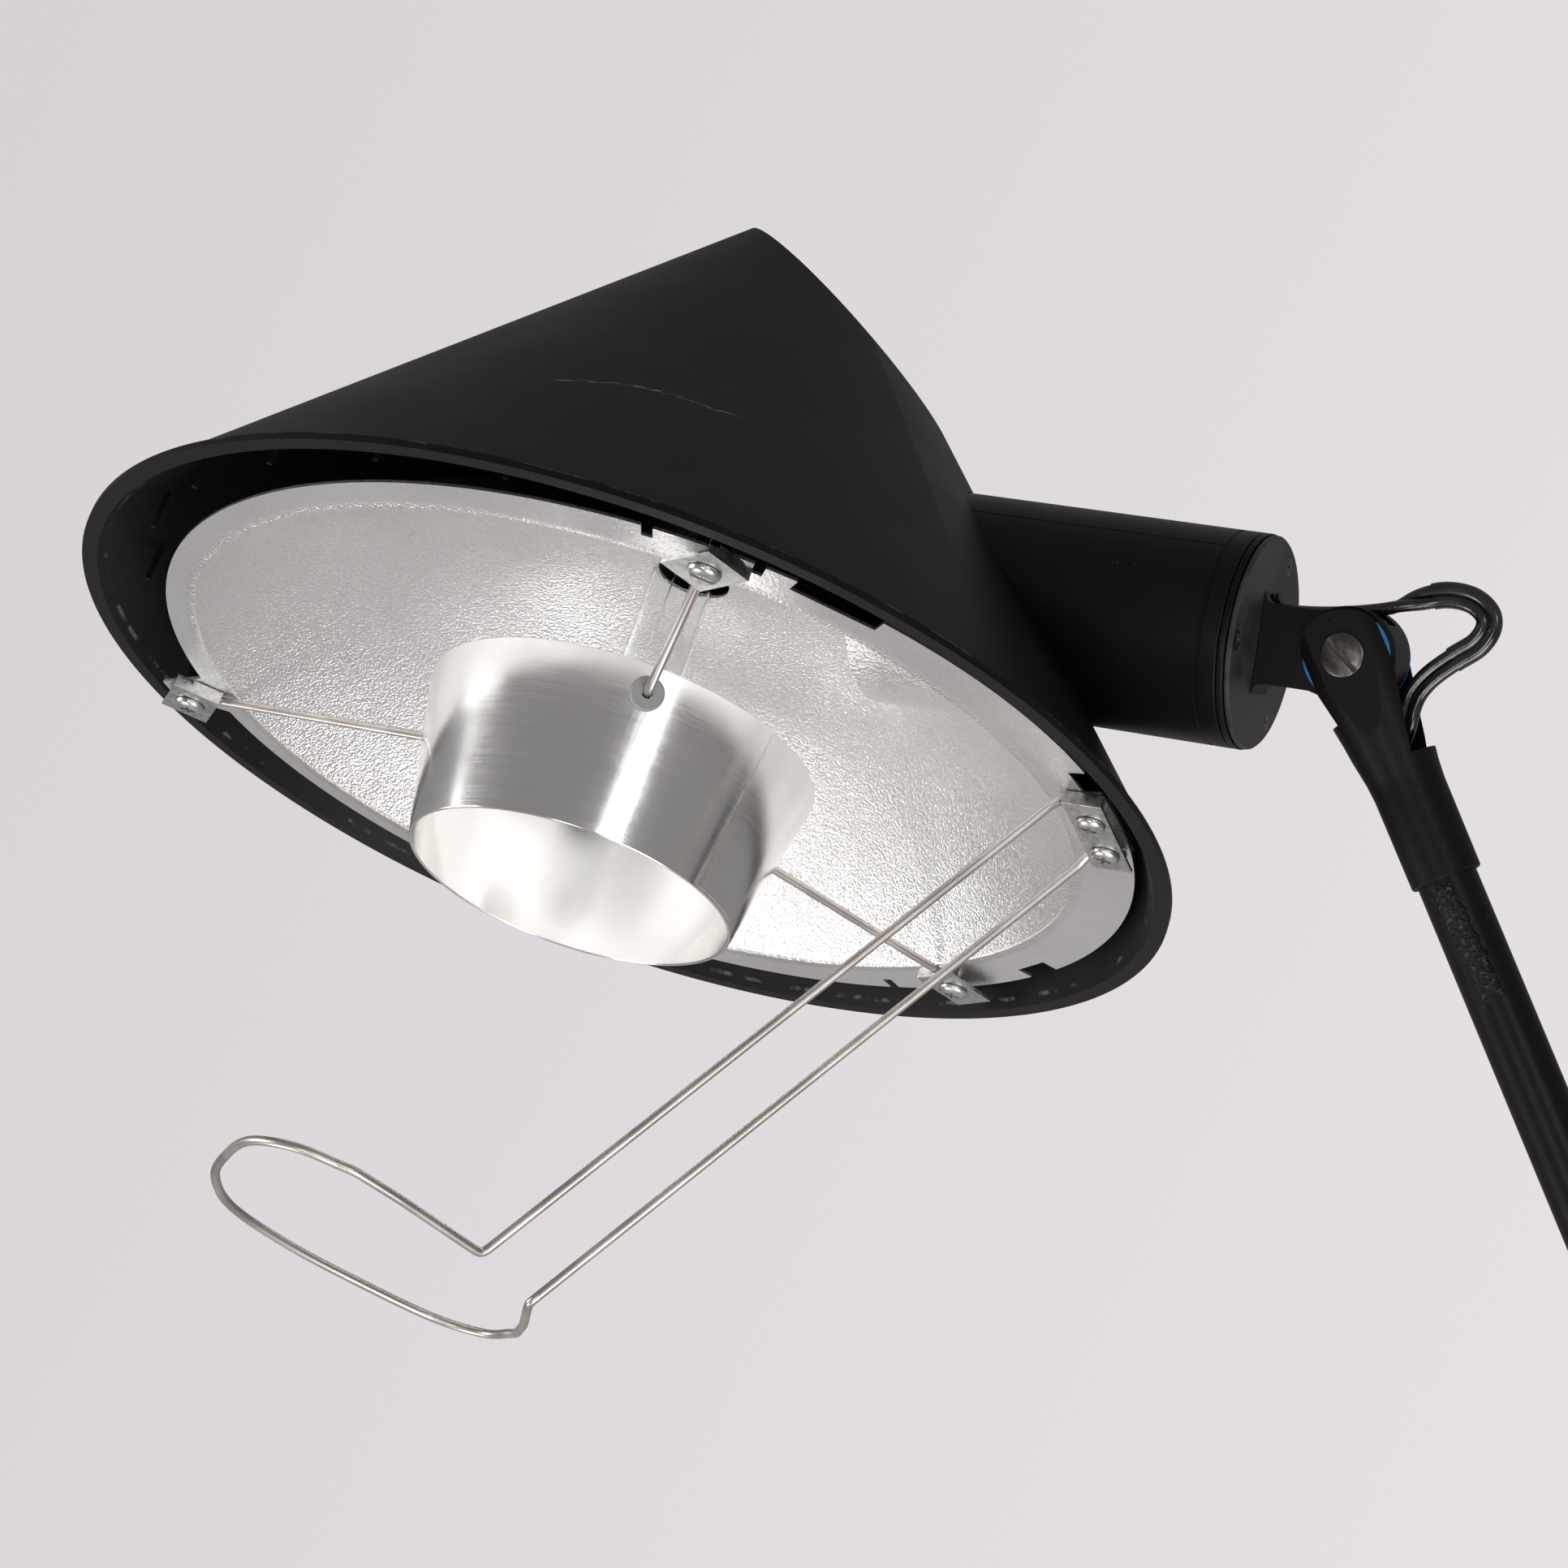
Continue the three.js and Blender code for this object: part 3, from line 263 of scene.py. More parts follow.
def rod(axis, radius, start, end, at=(0, 0), end_radius=None, sides=48):
    """A round bar along an axis; at holds its other two coordinates, in X, Y, Z order."""
    mesh = bmesh.new()
    bmesh.ops.create_cone(
        mesh,
        cap_ends=True,
        segments=sides,
        radius1=radius,
        radius2=radius if end_radius is None else end_radius,
        depth=end - start,
    )
    middle = (start + end) / 2
    place = {
        "x": (middle, *at),
        "y": (at[0], middle, at[1]),
        "z": (*at, middle),
    }[axis]
    return Form(mesh).moved(shift(*place) @ AXES[axis])


def block(xs, ys, zs):
    mesh = bmesh.new()
    bmesh.ops.create_cube(mesh, size=1)
    size = [high - low for low, high in (xs, ys, zs)]
    middle = [(low + high) / 2 for low, high in (xs, ys, zs)]
    return Form(mesh).moved(shift(*middle) @ Matrix.Diagonal((*size, 1)))


def plate(outline, height, thickness):
    """A flat outline in X and Y, made thick upwards from height."""
    mesh = bmesh.new()
    face = mesh.faces.new([mesh.verts.new((x, y, height)) for x, y in outline])
    top = bmesh.ops.extrude_face_region(mesh, geom=[face])["geom"]
    lifted = [item for item in top if isinstance(item, bmesh.types.BMVert)]
    bmesh.ops.translate(mesh, vec=(0, 0, thickness), verts=lifted)
    return Form(mesh).closed()


def smooth(points, steps=8):
    """A route that runs smoothly through every point."""
    ends = [points[0], *points, points[-1]]
    route = []
    for before, start, end, after in zip(ends, ends[1:], ends[2:], ends[3:]):
        handles = start + (end - before) / 6, end - (after - start) / 6
        route += interpolate_bezier(start, *handles, end, steps)[:-1]
    return [*route, points[-1]]


def rounded(points, radius, steps=6):
    """A route of straight runs with each inner corner rounded."""
    route = [points[0]]
    for before, corner, after in zip(points, points[1:], points[2:]):
        towards = [
            corner + (other - corner).normalized() * min(radius, (other - corner).length * 0.49)
            for other in (before, after)
        ]
        route += interpolate_bezier(towards[0], corner, corner, towards[1], steps)
    return [*route, points[-1]]


def wire(route, radius, resolution=6):
    """A round bar along a route of points."""
    data = bpy.data.curves.new("wire", "CURVE")
    data.dimensions = "3D"
    data.bevel_depth = radius
    data.bevel_resolution = resolution
    data.use_fill_caps = True
    spline = data.splines.new("POLY")
    spline.points.add(len(route) - 1)
    for point, place in zip(spline.points, route):
        point.co = (*place, 1)
    made = bpy.data.objects.new("wire", data)
    bpy.context.scene.collection.objects.link(made)
    form = Form(evaluated(made)).closed()
    bpy.data.curves.remove(data)
    return form


def show(form, node, place, finish, rides, name=None):
    """Turns a shape into the finished piece of a CAD node: smooth, placed, on its body."""
    name = name or node + "_fine"
    data = bpy.data.meshes.new(name)
    form.mesh.faces.ensure_lookup_table()
    for face in form.mesh.faces:
        face.smooth = True
    for edge in form.mesh.edges:
        edge.smooth = len(edge.link_faces) == 2 and edge.calc_face_angle(0) < math.radians(40)
    form.mesh.to_mesh(data)
    form.mesh.free()
    local = data.attributes.new("local", "FLOAT_VECTOR", "POINT")
    for vertex, entry in zip(data.vertices, local.data):
        entry.vector = vertex.co
    data.transform(Matrix.Scale(METRES, 4) @ place)
    piece = bpy.data.objects.new(name, data)
    bpy.context.scene.collection.objects.link(piece)
    data.materials.append(finish_of(finish))
    even = piece.modifiers.new("even", "WEIGHTED_NORMAL")
    even.keep_sharp = True
    if isinstance(rides, str):
        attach(piece, rides)
    else:
        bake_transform(piece)
    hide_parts(node)
    return piece


# ---- Materials ----------------------------------------------------------------------------------
class Value:
    """An output of a shader node, used in ordinary sums."""

    def __init__(self, paint, socket):
        self.paint = paint
        self.socket = socket

    def sum(self, operation, first, second):
        return self.paint.node("ShaderNodeMath", {"operation": operation}, [first, second])

    def __add__(self, other):
        return self.sum("ADD", self, other)

    def __radd__(self, other):
        return self.sum("ADD", other, self)

    def __sub__(self, other):
        return self.sum("SUBTRACT", self, other)

    def __rsub__(self, other):
        return self.sum("SUBTRACT", other, self)

    def __mul__(self, other):
        return self.sum("MULTIPLY", self, other)

    def __rmul__(self, other):
        return self.sum("MULTIPLY", other, self)

    def absolute(self):
        return self.sum("ABSOLUTE", self, 0)


class Paint:
    """A procedural material that works in a piece's own millimetres."""

    def __init__(self, name):
        self.material = bpy.data.materials.new(name)
        self.material.use_nodes = True
        self.nodes = self.material.node_tree.nodes
        self.links = self.material.node_tree.links
        self.surface = self.nodes["Principled BSDF"]
        self.place = self.node("ShaderNodeAttribute", {"attribute_name": "local"}, {}, "Vector")

    def node(self, kind, settings, inputs, output=0):
        made = self.nodes.new(kind)
        for name, setting in settings.items():
            setattr(made, name, setting)
        pairs = inputs.items() if isinstance(inputs, dict) else enumerate(inputs)
        for key, value in pairs:
            self.put(made.inputs[key], value)
        return Value(self, made.outputs[output])

    def put(self, socket, value):
        if isinstance(value, Value):
            self.links.new(value.socket, socket)
        else:
            socket.default_value = value

    def set(self, **inputs):
        for name, value in inputs.items():
            self.put(self.surface.inputs[name.replace("_", " ")], value)

    def base(self):
        """The colour that the surface has so far."""
        return Value(self, self.surface.inputs["Base Color"].links[0].from_socket)

    def axis(self, name):
        return self.node("ShaderNodeSeparateXYZ", {}, [self.place], name)

    def noise(self, scale, detail=3.0, rough=0.55, place=None):
        inputs = {"Scale": scale, "Detail": detail, "Roughness": rough}
        return self.node("ShaderNodeTexNoise", {}, {"Vector": place or self.place, **inputs})

    def cells(self, scale, feature="F1", place=None):
        inputs = {"Vector": place or self.place, "Scale": scale}
        return self.node("ShaderNodeTexVoronoi", {"feature": feature}, inputs, "Distance")

    def step(self, value, low, high, first=0.0, last=1.0):
        """Goes smoothly from first to last as value goes from low to high."""
        settings = {"interpolation_type": "SMOOTHSTEP"}
        return self.node("ShaderNodeMapRange", settings, [value, low, high, first, last])

    def mix(self, share, first, second):
        inputs = {"Factor": share, 6: first, 7: second}
        return self.node("ShaderNodeMix", {"data_type": "RGBA"}, inputs, 2)

    def bump(self, height, distance, strength=1.0):
        inputs = {"Strength": strength, "Distance": distance * METRES, "Height": height}
        self.put(self.surface.inputs["Normal"], self.node("ShaderNodeBump", {}, inputs))


def tone(red, green, blue):
    return red, green, blue, 1.0


def lacquer(paint, looks, roughness=0.42, dust=1.0, grain=0.02):
    """Satin black paint with faint rubbed clouds, a little dust and a fine texture."""
    cloud = paint.noise(0.03, 4)
    fine = paint.noise(3.2, 2)
    specks = paint.step(paint.cells(0.32), 0.035, 0.07, 1, 0)
    patchy = paint.step(paint.noise(0.05, 2), 0.5, 0.62)
    dusty = specks * patchy * (0.35 * dust)
    film = paint.step(cloud, 0.42, 0.75, 0, 0.10 * dust)
    black = paint.mix(film, tone(*looks.lacquer), tone(*looks.lacquer_worn))
    paint.set(Base_Color=paint.mix(dusty, black, tone(0.32, 0.30, 0.29)))
    level = paint.step(cloud, 0.3, 0.7, roughness - 0.02, roughness + 0.04)
    paint.set(Roughness=level + dusty * 0.3, Specular_IOR_Level=looks.sheen)
    paint.bump(fine, grain)


def shade_black(paint, looks):
    """The shade's lacquer, rubbed pale on the outer edge of the rim, with one long scratch."""
    lacquer(paint, looks, 0.46, 1.0, 0.015)
    lip = (paint.axis("Z") - 2.3).absolute() + paint.noise(0.8, 4) * 0.8
    rim = paint.step(lip, 0.75, 0.95, 1, 0)
    worn = rim * paint.step(paint.noise(0.12, 4), 0.5, 0.62) * 0.35
    across = paint.axis("X")
    wander = paint.noise(0.07, 3) * 7.0
    line = (across * SCRATCH[0] + paint.axis("Y") * SCRATCH[1] + wander - SCRATCH[2]).absolute()
    reach = paint.step((across - SCRATCH[3]).absolute(), SCRATCH[4] - 8, SCRATCH[4], 1, 0)
    near = paint.step(paint.axis("Y"), -60.0, -40.0, 1, 0)
    scratch = paint.step(line, 0.10, 0.24, 1, 0) * reach * near
    scratch = scratch * paint.step(paint.noise(0.35, 3), 0.4, 0.6, 0.15, 0.8)
    black = paint.base()
    marks = paint.node("ShaderNodeMath", {"operation": "MAXIMUM"}, [worn, scratch])
    paint.set(Base_Color=paint.mix(marks, black, tone(0.23, 0.21, 0.20)))


def arm_black(paint, looks):
    """Tube lacquer with a rough patch of old glue under the upper fork."""
    lacquer(paint, looks, 0.36, 1.1, 0.015)
    height, side = paint.axis("Z"), paint.axis("X")
    ragged = paint.noise(0.16, 4) * 12.0
    along = paint.step(height + ragged, 469.0, 472.0)
    along = along * paint.step(height - ragged, 488.0, 490.0, 1, 0)
    aside = side + (height - 485) * 0.05 + paint.noise(0.3, 4) * 4.0 - 2.0
    strip = paint.step(aside.absolute(), 2.4, 3.4, 1, 0)
    facing = paint.step(paint.axis("Y"), -2.0, 0.0, 1, 0)
    patch = along * strip * facing
    black = paint.base()
    crumbs = paint.noise(0.9, 5)
    dark, pale = tone(0.004, 0.004, 0.004), tone(0.05, 0.045, 0.045)
    glue = paint.mix(paint.step(crumbs, 0.5, 0.72), dark, pale)
    paint.set(Base_Color=paint.mix(patch, black, glue))
    paint.set(Roughness=paint.step(patch, 0, 1, 0.36, 0.3))
    paint.bump(crumbs * patch, 0.6)


def cable_black(paint, looks):
    """Glossy cable sleeving."""
    cloud = paint.noise(0.12, 3)
    grey = paint.step(cloud, 0.4, 0.7, 0, 0.5)
    paint.set(Base_Color=paint.mix(grey, tone(*looks.cable), tone(0.028, 0.026, 0.028)))
    paint.set(Roughness=paint.step(cloud, 0.3, 0.7, 0.16, 0.3))
    paint.set(Coat_Weight=0.5, Coat_Roughness=0.12)
    paint.bump(paint.noise(0.9, 3), 0.08)


def metal(paint, colour, other, roughness, spread, scale, detail=4.0, grain=0.02, metallic=1.0):
    """Bare metal whose colour and polish drift between two states."""
    cloud = paint.noise(scale, detail)
    share = paint.step(cloud, 0.35, 0.68)
    paint.set(Base_Color=paint.mix(share, tone(*colour), tone(*other)))
    paint.set(Roughness=paint.step(cloud, 0.3, 0.7, roughness, roughness + spread))
    paint.set(Metallic=metallic)
    if grain:
        paint.bump(paint.noise(1.8, 3), grain)


def cap_grey(paint, looks):
    """Dark satin metal under a thin film of dust in random patches."""
    dark, pale = (0.05, 0.047, 0.05), (0.075, 0.07, 0.075)
    metal(paint, dark, pale, 0.42, 0.14, 0.12, grain=0.008, metallic=0.6)
    dust = paint.step(paint.noise(1.4, 5), 0.56, 0.72, 0, 0.3)
    base = paint.base()
    paint.set(Base_Color=paint.mix(dust, base, tone(0.20, 0.19, 0.18)))


def hammered_aluminium(paint, looks):
    """Bright sheet with a fine sparkling grain in the dish and a smooth flange."""
    size = looks.dent_size / METRES
    across = paint.axis("X") - 3.0
    along = paint.axis("Y")
    radius = paint.node("ShaderNodeMath", {"operation": "SQRT"}, [across * across + along * along])
    dish = paint.step(radius, 127.5, 130.5, 1, 0.15)
    dents = paint.cells(1 / size, "F1") + paint.cells(2.1 / size, "F1") * 0.4
    flecks = paint.step(paint.cells(0.8 / size, "F1"), 0.05, 0.3, 1, 0)
    cloud = paint.step(paint.noise(0.012, 3), 0.35, 0.7)
    silver = paint.mix(cloud, tone(*looks.aluminium), tone(0.80, 0.79, 0.77))
    paint.set(Base_Color=paint.mix(flecks * 0.6, silver, tone(0.98, 0.97, 0.95)))
    paint.set(Metallic=1.0, Roughness=paint.step(flecks, 0, 1, 0.3, 0.18))
    paint.bump(dents * dish + paint.noise(1.2, 3) * 0.06, looks.dent_depth / METRES)


def polished_aluminium(paint, looks):
    """Rolled sheet with fine brushing round the ring."""
    across = paint.axis("X") - RING_OFFSET
    angle = paint.node("ShaderNodeMath", {"operation": "ARCTAN2"}, [paint.axis("Y"), across])
    flat = paint.node("ShaderNodeCombineXYZ", {}, [angle * 1.5, paint.axis("Z") * 4.0, 0.0])
    lines = paint.noise(1.0, 5, 0.65, flat)
    soft = paint.step(paint.noise(0.05, 3), 0.35, 0.7)
    dull, clean = tone(0.86, 0.85, 0.83), tone(0.90, 0.89, 0.87)
    bright = paint.mix(paint.step(lines, 0.35, 0.65), dull, clean)
    paint.set(Base_Color=paint.mix(soft * 0.3, bright, tone(0.72, 0.71, 0.70)))
    paint.set(Metallic=1.0, Roughness=paint.step(lines, 0.3, 0.7, 0.12, 0.19) + soft * 0.05)
    paint.bump(lines, 0.004)


def spring_wire(paint, looks):
    """Drawn wire with a warm tint, and spots of rust on the part that hands touch."""
    metal(paint, (0.50, 0.455, 0.42), (0.62, 0.58, 0.54), 0.34, 0.08, 0.05, 2, 0.0)
    low = paint.step(paint.axis("Z"), -150.0, -140.0, 1, 0.1)
    rust = paint.step(paint.noise(0.5, 5, 0.7), 0.62, 0.70) * low
    base = paint.base()
    paint.set(Base_Color=paint.mix(rust * 0.8, base, tone(*looks.rust)))
    paint.set(Metallic=1 - rust * 0.7)


def washer_blue(paint, looks):
    cloud = paint.noise(0.8, 4)
    paint.set(Base_Color=paint.mix(cloud, tone(*looks.washer), tone(0.01, 0.10, 0.24)))
    paint.set(Roughness=paint.step(cloud, 0.3, 0.7, 0.4, 0.6))
    paint.bump(cloud, 0.05)


def grommet_grey(paint, looks):
    cloud = paint.noise(0.7, 4)
    paint.set(Base_Color=paint.mix(cloud, tone(0.20, 0.205, 0.205), tone(0.33, 0.33, 0.33)))
    paint.set(Roughness=paint.step(cloud, 0.3, 0.7, 0.5, 0.75))
    paint.bump(cloud, 0.05)


def porcelain(paint, looks):
    cloud = paint.noise(0.15, 4)
    paint.set(Base_Color=paint.mix(cloud, tone(0.80, 0.77, 0.70), tone(0.70, 0.66, 0.58)))
    paint.set(Roughness=paint.step(cloud, 0.3, 0.7, 0.18, 0.35), Coat_Weight=0.4)
    paint.bump(cloud, 0.1)


def bulb_glass(paint, looks):
    """Clear glass with a faint unevenness."""
    cloud = paint.noise(0.06, 3)
    paint.set(Base_Color=paint.mix(cloud, tone(*looks.glass), tone(0.94, 0.95, 0.95)))
    paint.set(Roughness=paint.step(cloud, 0.3, 0.7, 0.01, 0.04), Transmission_Weight=1.0, IOR=1.08)
    paint.bump(cloud, 0.02)


def coated(*state):
    """A finish of plain lacquer."""
    return lambda paint, looks: lacquer(paint, looks, *state)


def bare(*state):
    """A finish of plain metal."""
    return lambda paint, looks: metal(paint, *state)


FINISHES = {
    "satin_black": coated(0.36, 1.0, 0.015),
    "arm_black": arm_black,
    "shade_black": shade_black,
    "housing_black": coated(0.36, 1.2, 0.015),
    "cast_black": coated(0.42, 0.8, 0.03),
    "knob_black": coated(0.5, 0.4, 0.05),
    "rubber_black": coated(0.78, 1.4, 0.08),
    "cable_black": cable_black,
    "cap_grey": cap_grey,
    "hammered_aluminium": hammered_aluminium,
    "polished_aluminium": polished_aluminium,
    "zinc_plate": bare((0.44, 0.44, 0.42), (0.60, 0.60, 0.58), 0.24, 0.14, 0.4, 4, 0.008),
    "spring_wire": spring_wire,
    "dark_steel": bare((0.10, 0.09, 0.08), (0.17, 0.155, 0.14), 0.3, 0.15, 0.35, 4, 0.006),
    "washer_blue": washer_blue,
    "grommet_grey": grommet_grey,
    "porcelain": porcelain,
    "cap_brass": bare((0.60, 0.58, 0.54), (0.74, 0.72, 0.68), 0.25, 0.15, 0.4),
    "bulb_glass": bulb_glass,
}


def finish_of(name):
    """The material of that name, made the first time that it is asked for."""
    if name in bpy.data.materials and bpy.data.materials[name].get("lamp"):
        return bpy.data.materials[name]
    paint = Paint(name)
    paint.material["lamp"] = True
    FINISHES[name](paint, bpy.context.scene.lamp_looks)
    return paint.material


# ---- Shade and housing --------------------------------------------------------------------------
def cone_radius(height):
    return RIM_RADIUS * (1 - height / CONE_HEIGHT)


def lean_cone(form):
    shear = Matrix.Identity(4)
    shear[0][2] = -CONE_LEAN / CONE_HEIGHT
    return form.moved(shear)


def above_top(drop=0.0):
    """Everything above the shade's sloping flat top, lowered by drop."""
    low = TOP_DISTANCE - drop
    return block((-400, 400), (-400, 400), (low, low + 400)).moved(turn("Y", TOP_SLOPE))


def make_shade(sizes):
    lip, wall, flare, plate_thickness = 4.5, 3.65, 6, 3
    rim = sizes.rim_height / METRES
    outer = lean_cone(turned([
        (0, 0), (RIM_RADIUS, 0), (RIM_RADIUS, rim), (cone_radius(rim + 0.6), rim + 0.6),
        (0, CONE_HEIGHT),
    ], 192))
    inner = lean_cone(turned([
        (0, -1), (RIM_RADIUS - lip, -1), (RIM_RADIUS - lip, 0),
        (cone_radius(flare) - wall, flare), (0, CONE_HEIGHT * (1 - wall / RIM_RADIUS)),
    ], 192))
    hollow = inner.carved(above_top(plate_thickness))
    shell = outer.carved(above_top())
    vents = []
    for index in range(5):
        across = (index - 2) * 8
        slot = block((-79, -43), (across - 2, across + 2), (TOP_DISTANCE - 4, TOP_DISTANCE + 1))
        vents.append(slot.moved(turn("Y", TOP_SLOPE)))
    way = rod("x", 29.25, 40, 200, (0, HOUSING_HEIGHT), sides=CIRCLE)
    body = shell.carved(hollow, way, *vents).softened(sizes.edge / METRES, 2, 25)
    ribs = []
    for index in range(24):
        angle = index * 15 + 7.5
        if min(abs((angle - other + 180) % 360 - 180) for other in (0, 60, 180, 300)) < 8:
            continue
        rib = block((cone_radius(16) - 4, cone_radius(16) - wall + 1), (-0.6, 0.6), (5, 16))
        ribs.append(rib.moved(turn("Z", angle)))
    bosses = [
        rod("z", 4.5, 2.1, 13, on_circle(CLIP_CIRCLE, angle)) for angle in CLIP_ANGLES.values()
    ]
    beam = block(BRACKET_SPAN, (-15, 15), (2.1, 8))
    for boss in (*bosses, beam):
        boss.moved(turn("Y", REFLECTOR_LEAN))
    return body.beside(*ribs, *bosses, beam)


def make_housing():
    """A can along X with a rounded inner end, a groove near the swivel and a faint mould seam."""
    profile = [
        (0, 66), (27.4, 66), (28.4, 66.4), (28.95, 67.6), (28.95, 159.2), (28.55, 159.5),
        (28.55, 160.1), (28.95, 160.4), (28.95, 164.8), (28.7, 165.1), (26.45, 165.1),
        (26.45, 69), (0, 69),
    ]
    can = turned(profile, CIRCLE).moved(shift(0, 0, HOUSING_HEIGHT) @ AXES["x"])
    seam = block((80, 159), (-0.22, 0.22), (28.6, 29.06)).softened(0.1, 2)
    seam.moved(shift(0, 0, HOUSING_HEIGHT) @ turn("X", 62))
    return can.beside(seam)


def make_swivel_band():
    band = turned([
        (18.15, 150.4), (25.9, 150.4), (26.15, 150.7), (26.15, 165.4), (28.7, 165.4),
        (28.95, 165.6), (28.95, 166.9), (28.7, 167.2), (18.15, 167.2),
    ])
    return band.moved(AXES["x"])


def cap_places():
    places = [math.radians(angle) for angle in CAP_SCREW_ANGLES]
    return [(24.3 * math.cos(angle), 24.3 * math.sin(angle)) for angle in places]


def make_end_cap():
    disc = turned([
        (0, 167.5), (28.3, 167.5), (28.6, 167.8), (28.6, 168.5), (28.1, 169), (0, 169),
    ]).moved(AXES["x"])
    sinks = [rod("x", 1.6, 166.5, 170, place) for place in cap_places()]
    cones = [rod("x", 1.0, 167.2, 169.01, place, 2.85) for place in cap_places()]
    way = rod("x", 4.2, 166, 170, (0, 9))
    return disc.carved(*sinks, *cones, way).softened(0.12, 2, 35)


def cross(width, reach, low, high):
    """The recess of a cross-head screw."""
    return [
        block((-reach, reach), (-width / 2, width / 2), (low, high)),
        block((-width / 2, width / 2), (-reach, reach), (low, high)),
    ]


def make_cap_screw(place):
    head = turned([(0, 158.95), (1.5, 158.95), (1.5, 167.8), (2.65, 168.95), (0, 168.95)], 48)
    head = head.carved(*cross(0.6, 1.5, 167.9, 170)).softened(0.08, 2, 35)
    return head.moved(shift(0, *place) @ AXES["x"])


# ---- Reflector, ring and clips ------------------------------------------------------------------
def make_reflector():
    radius, depth, hole, sheet, bottom, offset = 128, 58, 10.5, 0.9, 1, 3
    ball = (radius**2 + depth**2) / (2 * depth)

    def height(across, extra):
        return bottom + math.sqrt((ball + extra) ** 2 - across**2) - (ball - depth)

    radii = [radius - (radius - hole) * index / 24 for index in range(25)]
    over = [(across, height(across, sheet)) for across in radii]
    under = [(across, height(across, 0)) for across in radii]
    dish = turned([*over, *reversed(under)], 144).moved(shift(offset))
    mound = turned([(0, bottom), *over, (0, height(0, sheet))], 144).moved(shift(offset))
    blister = rod("x", 33, 62, 138, (0, HOUSING_HEIGHT), sides=96).common(mound)
    relief = rod("x", 32.1, 62.9, 148, (0, HOUSING_HEIGHT), sides=96)
    flange = rod("z", 139.4, bottom, bottom + 0.8, (7.55, 0), sides=192)
    flange = flange.carved(rod("z", 127.2, bottom - 1, bottom + 2, (offset, 0), sides=144))
    tab = plate([(-126, -12), (-126, 12), (-147.5, 4), (-147.5, -4)], bottom, 0.8)
    notches = []
    for angle, width, deep in (
        (-70, 3, 5), (-58, 3, 5), (-49, 24, 6), (-10, 11, 5), (49, 13, 5), (75, 3, 5),
    ):
        notch = block((139.4 - deep, 145), (-width / 2, width / 2), (0, 4))
        notches.append(notch.moved(shift(7.55) @ turn("Z", angle)))
    holes = [
        rod("z", 1.8, 0, 4, on_circle(CLIP_CIRCLE, angle)) for angle in CLIP_ANGLES.values()
    ]
    holes += [rod("z", 1.8, 0, 4, place) for place in HANDLE_SCREWS]
    sheet_metal = dish.joined(flange, tab, blister)
    return sheet_metal.carved(relief, *notches, *holes)


def on_ring(form, angle):
    """Moves a shape made about Z onto the ring's outer wall, with +Z pointing out of it."""
    lean = math.degrees(math.atan2(9.7, 46.5))
    place = shift(RING_OFFSET) @ turn("Z", angle) @ shift(GROMMET_CIRCLE, 0, GROMMET_HEIGHT)
    return form.moved(place @ turn("Y", 90 + lean))


def make_ring():
    """A rolled strip of sheet whose end laps over its start."""
    wall = turned([
        (45.2, -40.8), (45.5, -41.1), (45.9, -41.1), (46.2, -40.8), (55.9, 5.1), (55.6, 5.4),
        (55.2, 5.4), (54.9, 5.1),
    ], 192)
    holes = [on_ring(rod("z", 3.35, -8, 8), angle) for angle in CLIP_ANGLES.values()]
    lap = turned([
        (46.35, -40.6), (46.9, -40.6), (56.2, 4.6), (55.85, 4.6),
    ], 24, 26).moved(turn("Z", -20))
    return wall.moved(shift(RING_OFFSET)).carved(*holes).beside(lap.moved(shift(RING_OFFSET)))


def spoke_points(angle, start, end):
    fall = (WIRE_HEIGHT - GROMMET_HEIGHT) / (SPOKE_START - GROMMET_CIRCLE)
    return [
        Vector((*on_circle(place, angle), WIRE_HEIGHT - (SPOKE_START - place) * fall))
        for place in (start, end)
    ]


def make_spoke(angle, radius):
    route = spoke_points(angle, SPOKE_START, GROMMET_CIRCLE - 4)
    return wire(route, radius, 8).softened(0.3, 2, 50)


def make_grommet(angle):
    lips = turned([
        (1.5, -2.6), (4.3, -2.6), (4.75, -2.2), (4.75, -1.8), (4.5, -1.5), (3.2, -1.5),
        (3.2, 0.15), (4.5, 0.15), (4.75, 0.5), (4.75, 1.0), (4.3, 1.45), (1.5, 1.45),
    ], 48)
    return on_ring(lips, angle)


def make_clip(letter):
    angle, turned_by = CLIP_ANGLES[letter], CLIP_TURNS[letter]
    body = block((-9, 9), (-7, 7), (-3, -2))
    body = body.joined(block((-9, -8), (-7, 7), (-2.5, 0.7)))
    body = body.carved(rod("z", 1.65, -9, 9)).softened(0.25, 3)
    body.moved(shift(*on_circle(CLIP_CIRCLE, angle)) @ turn("Z", turned_by))
    way = wire(spoke_points(angle, CLIP_CIRCLE + 12, 90), 1.5)
    return body.carved(way)


def make_pan_screw(radius, recess):
    """A pan-head screw under a plate; recess is its slot or cross."""
    head = turned([
        (0, -5.05), (radius - 2.2, -5.05), (radius - 1.1, -4.75), (radius - 0.35, -4.2),
        (radius, -3.5), (radius, -3.15), (1.5, -3.15), (1.5, 14), (0, 14),
    ], 64)
    if recess == "slot":
        cuts = [block((-9, 9), (-0.5, 0.5), (-6, -4.2)).moved(turn("Z", 35))]
    else:
        cuts = [tool.moved(turn("Z", 20)) for tool in cross(0.95, 2.1, -6, -3.7)]
    return head.carved(*cuts).softened(0.1, 2, 35)


def make_bracket():
    body = block(BRACKET_SPAN, (-18, 18), (-3, -2))
    body = body.joined(block(BRACKET_SPAN, (-19, -18), (-3, 0.7)))
    holes = [rod("z", 1.65, -9, 9, place) for place in HANDLE_SCREWS]
    return body.carved(*holes).softened(0.25, 3)


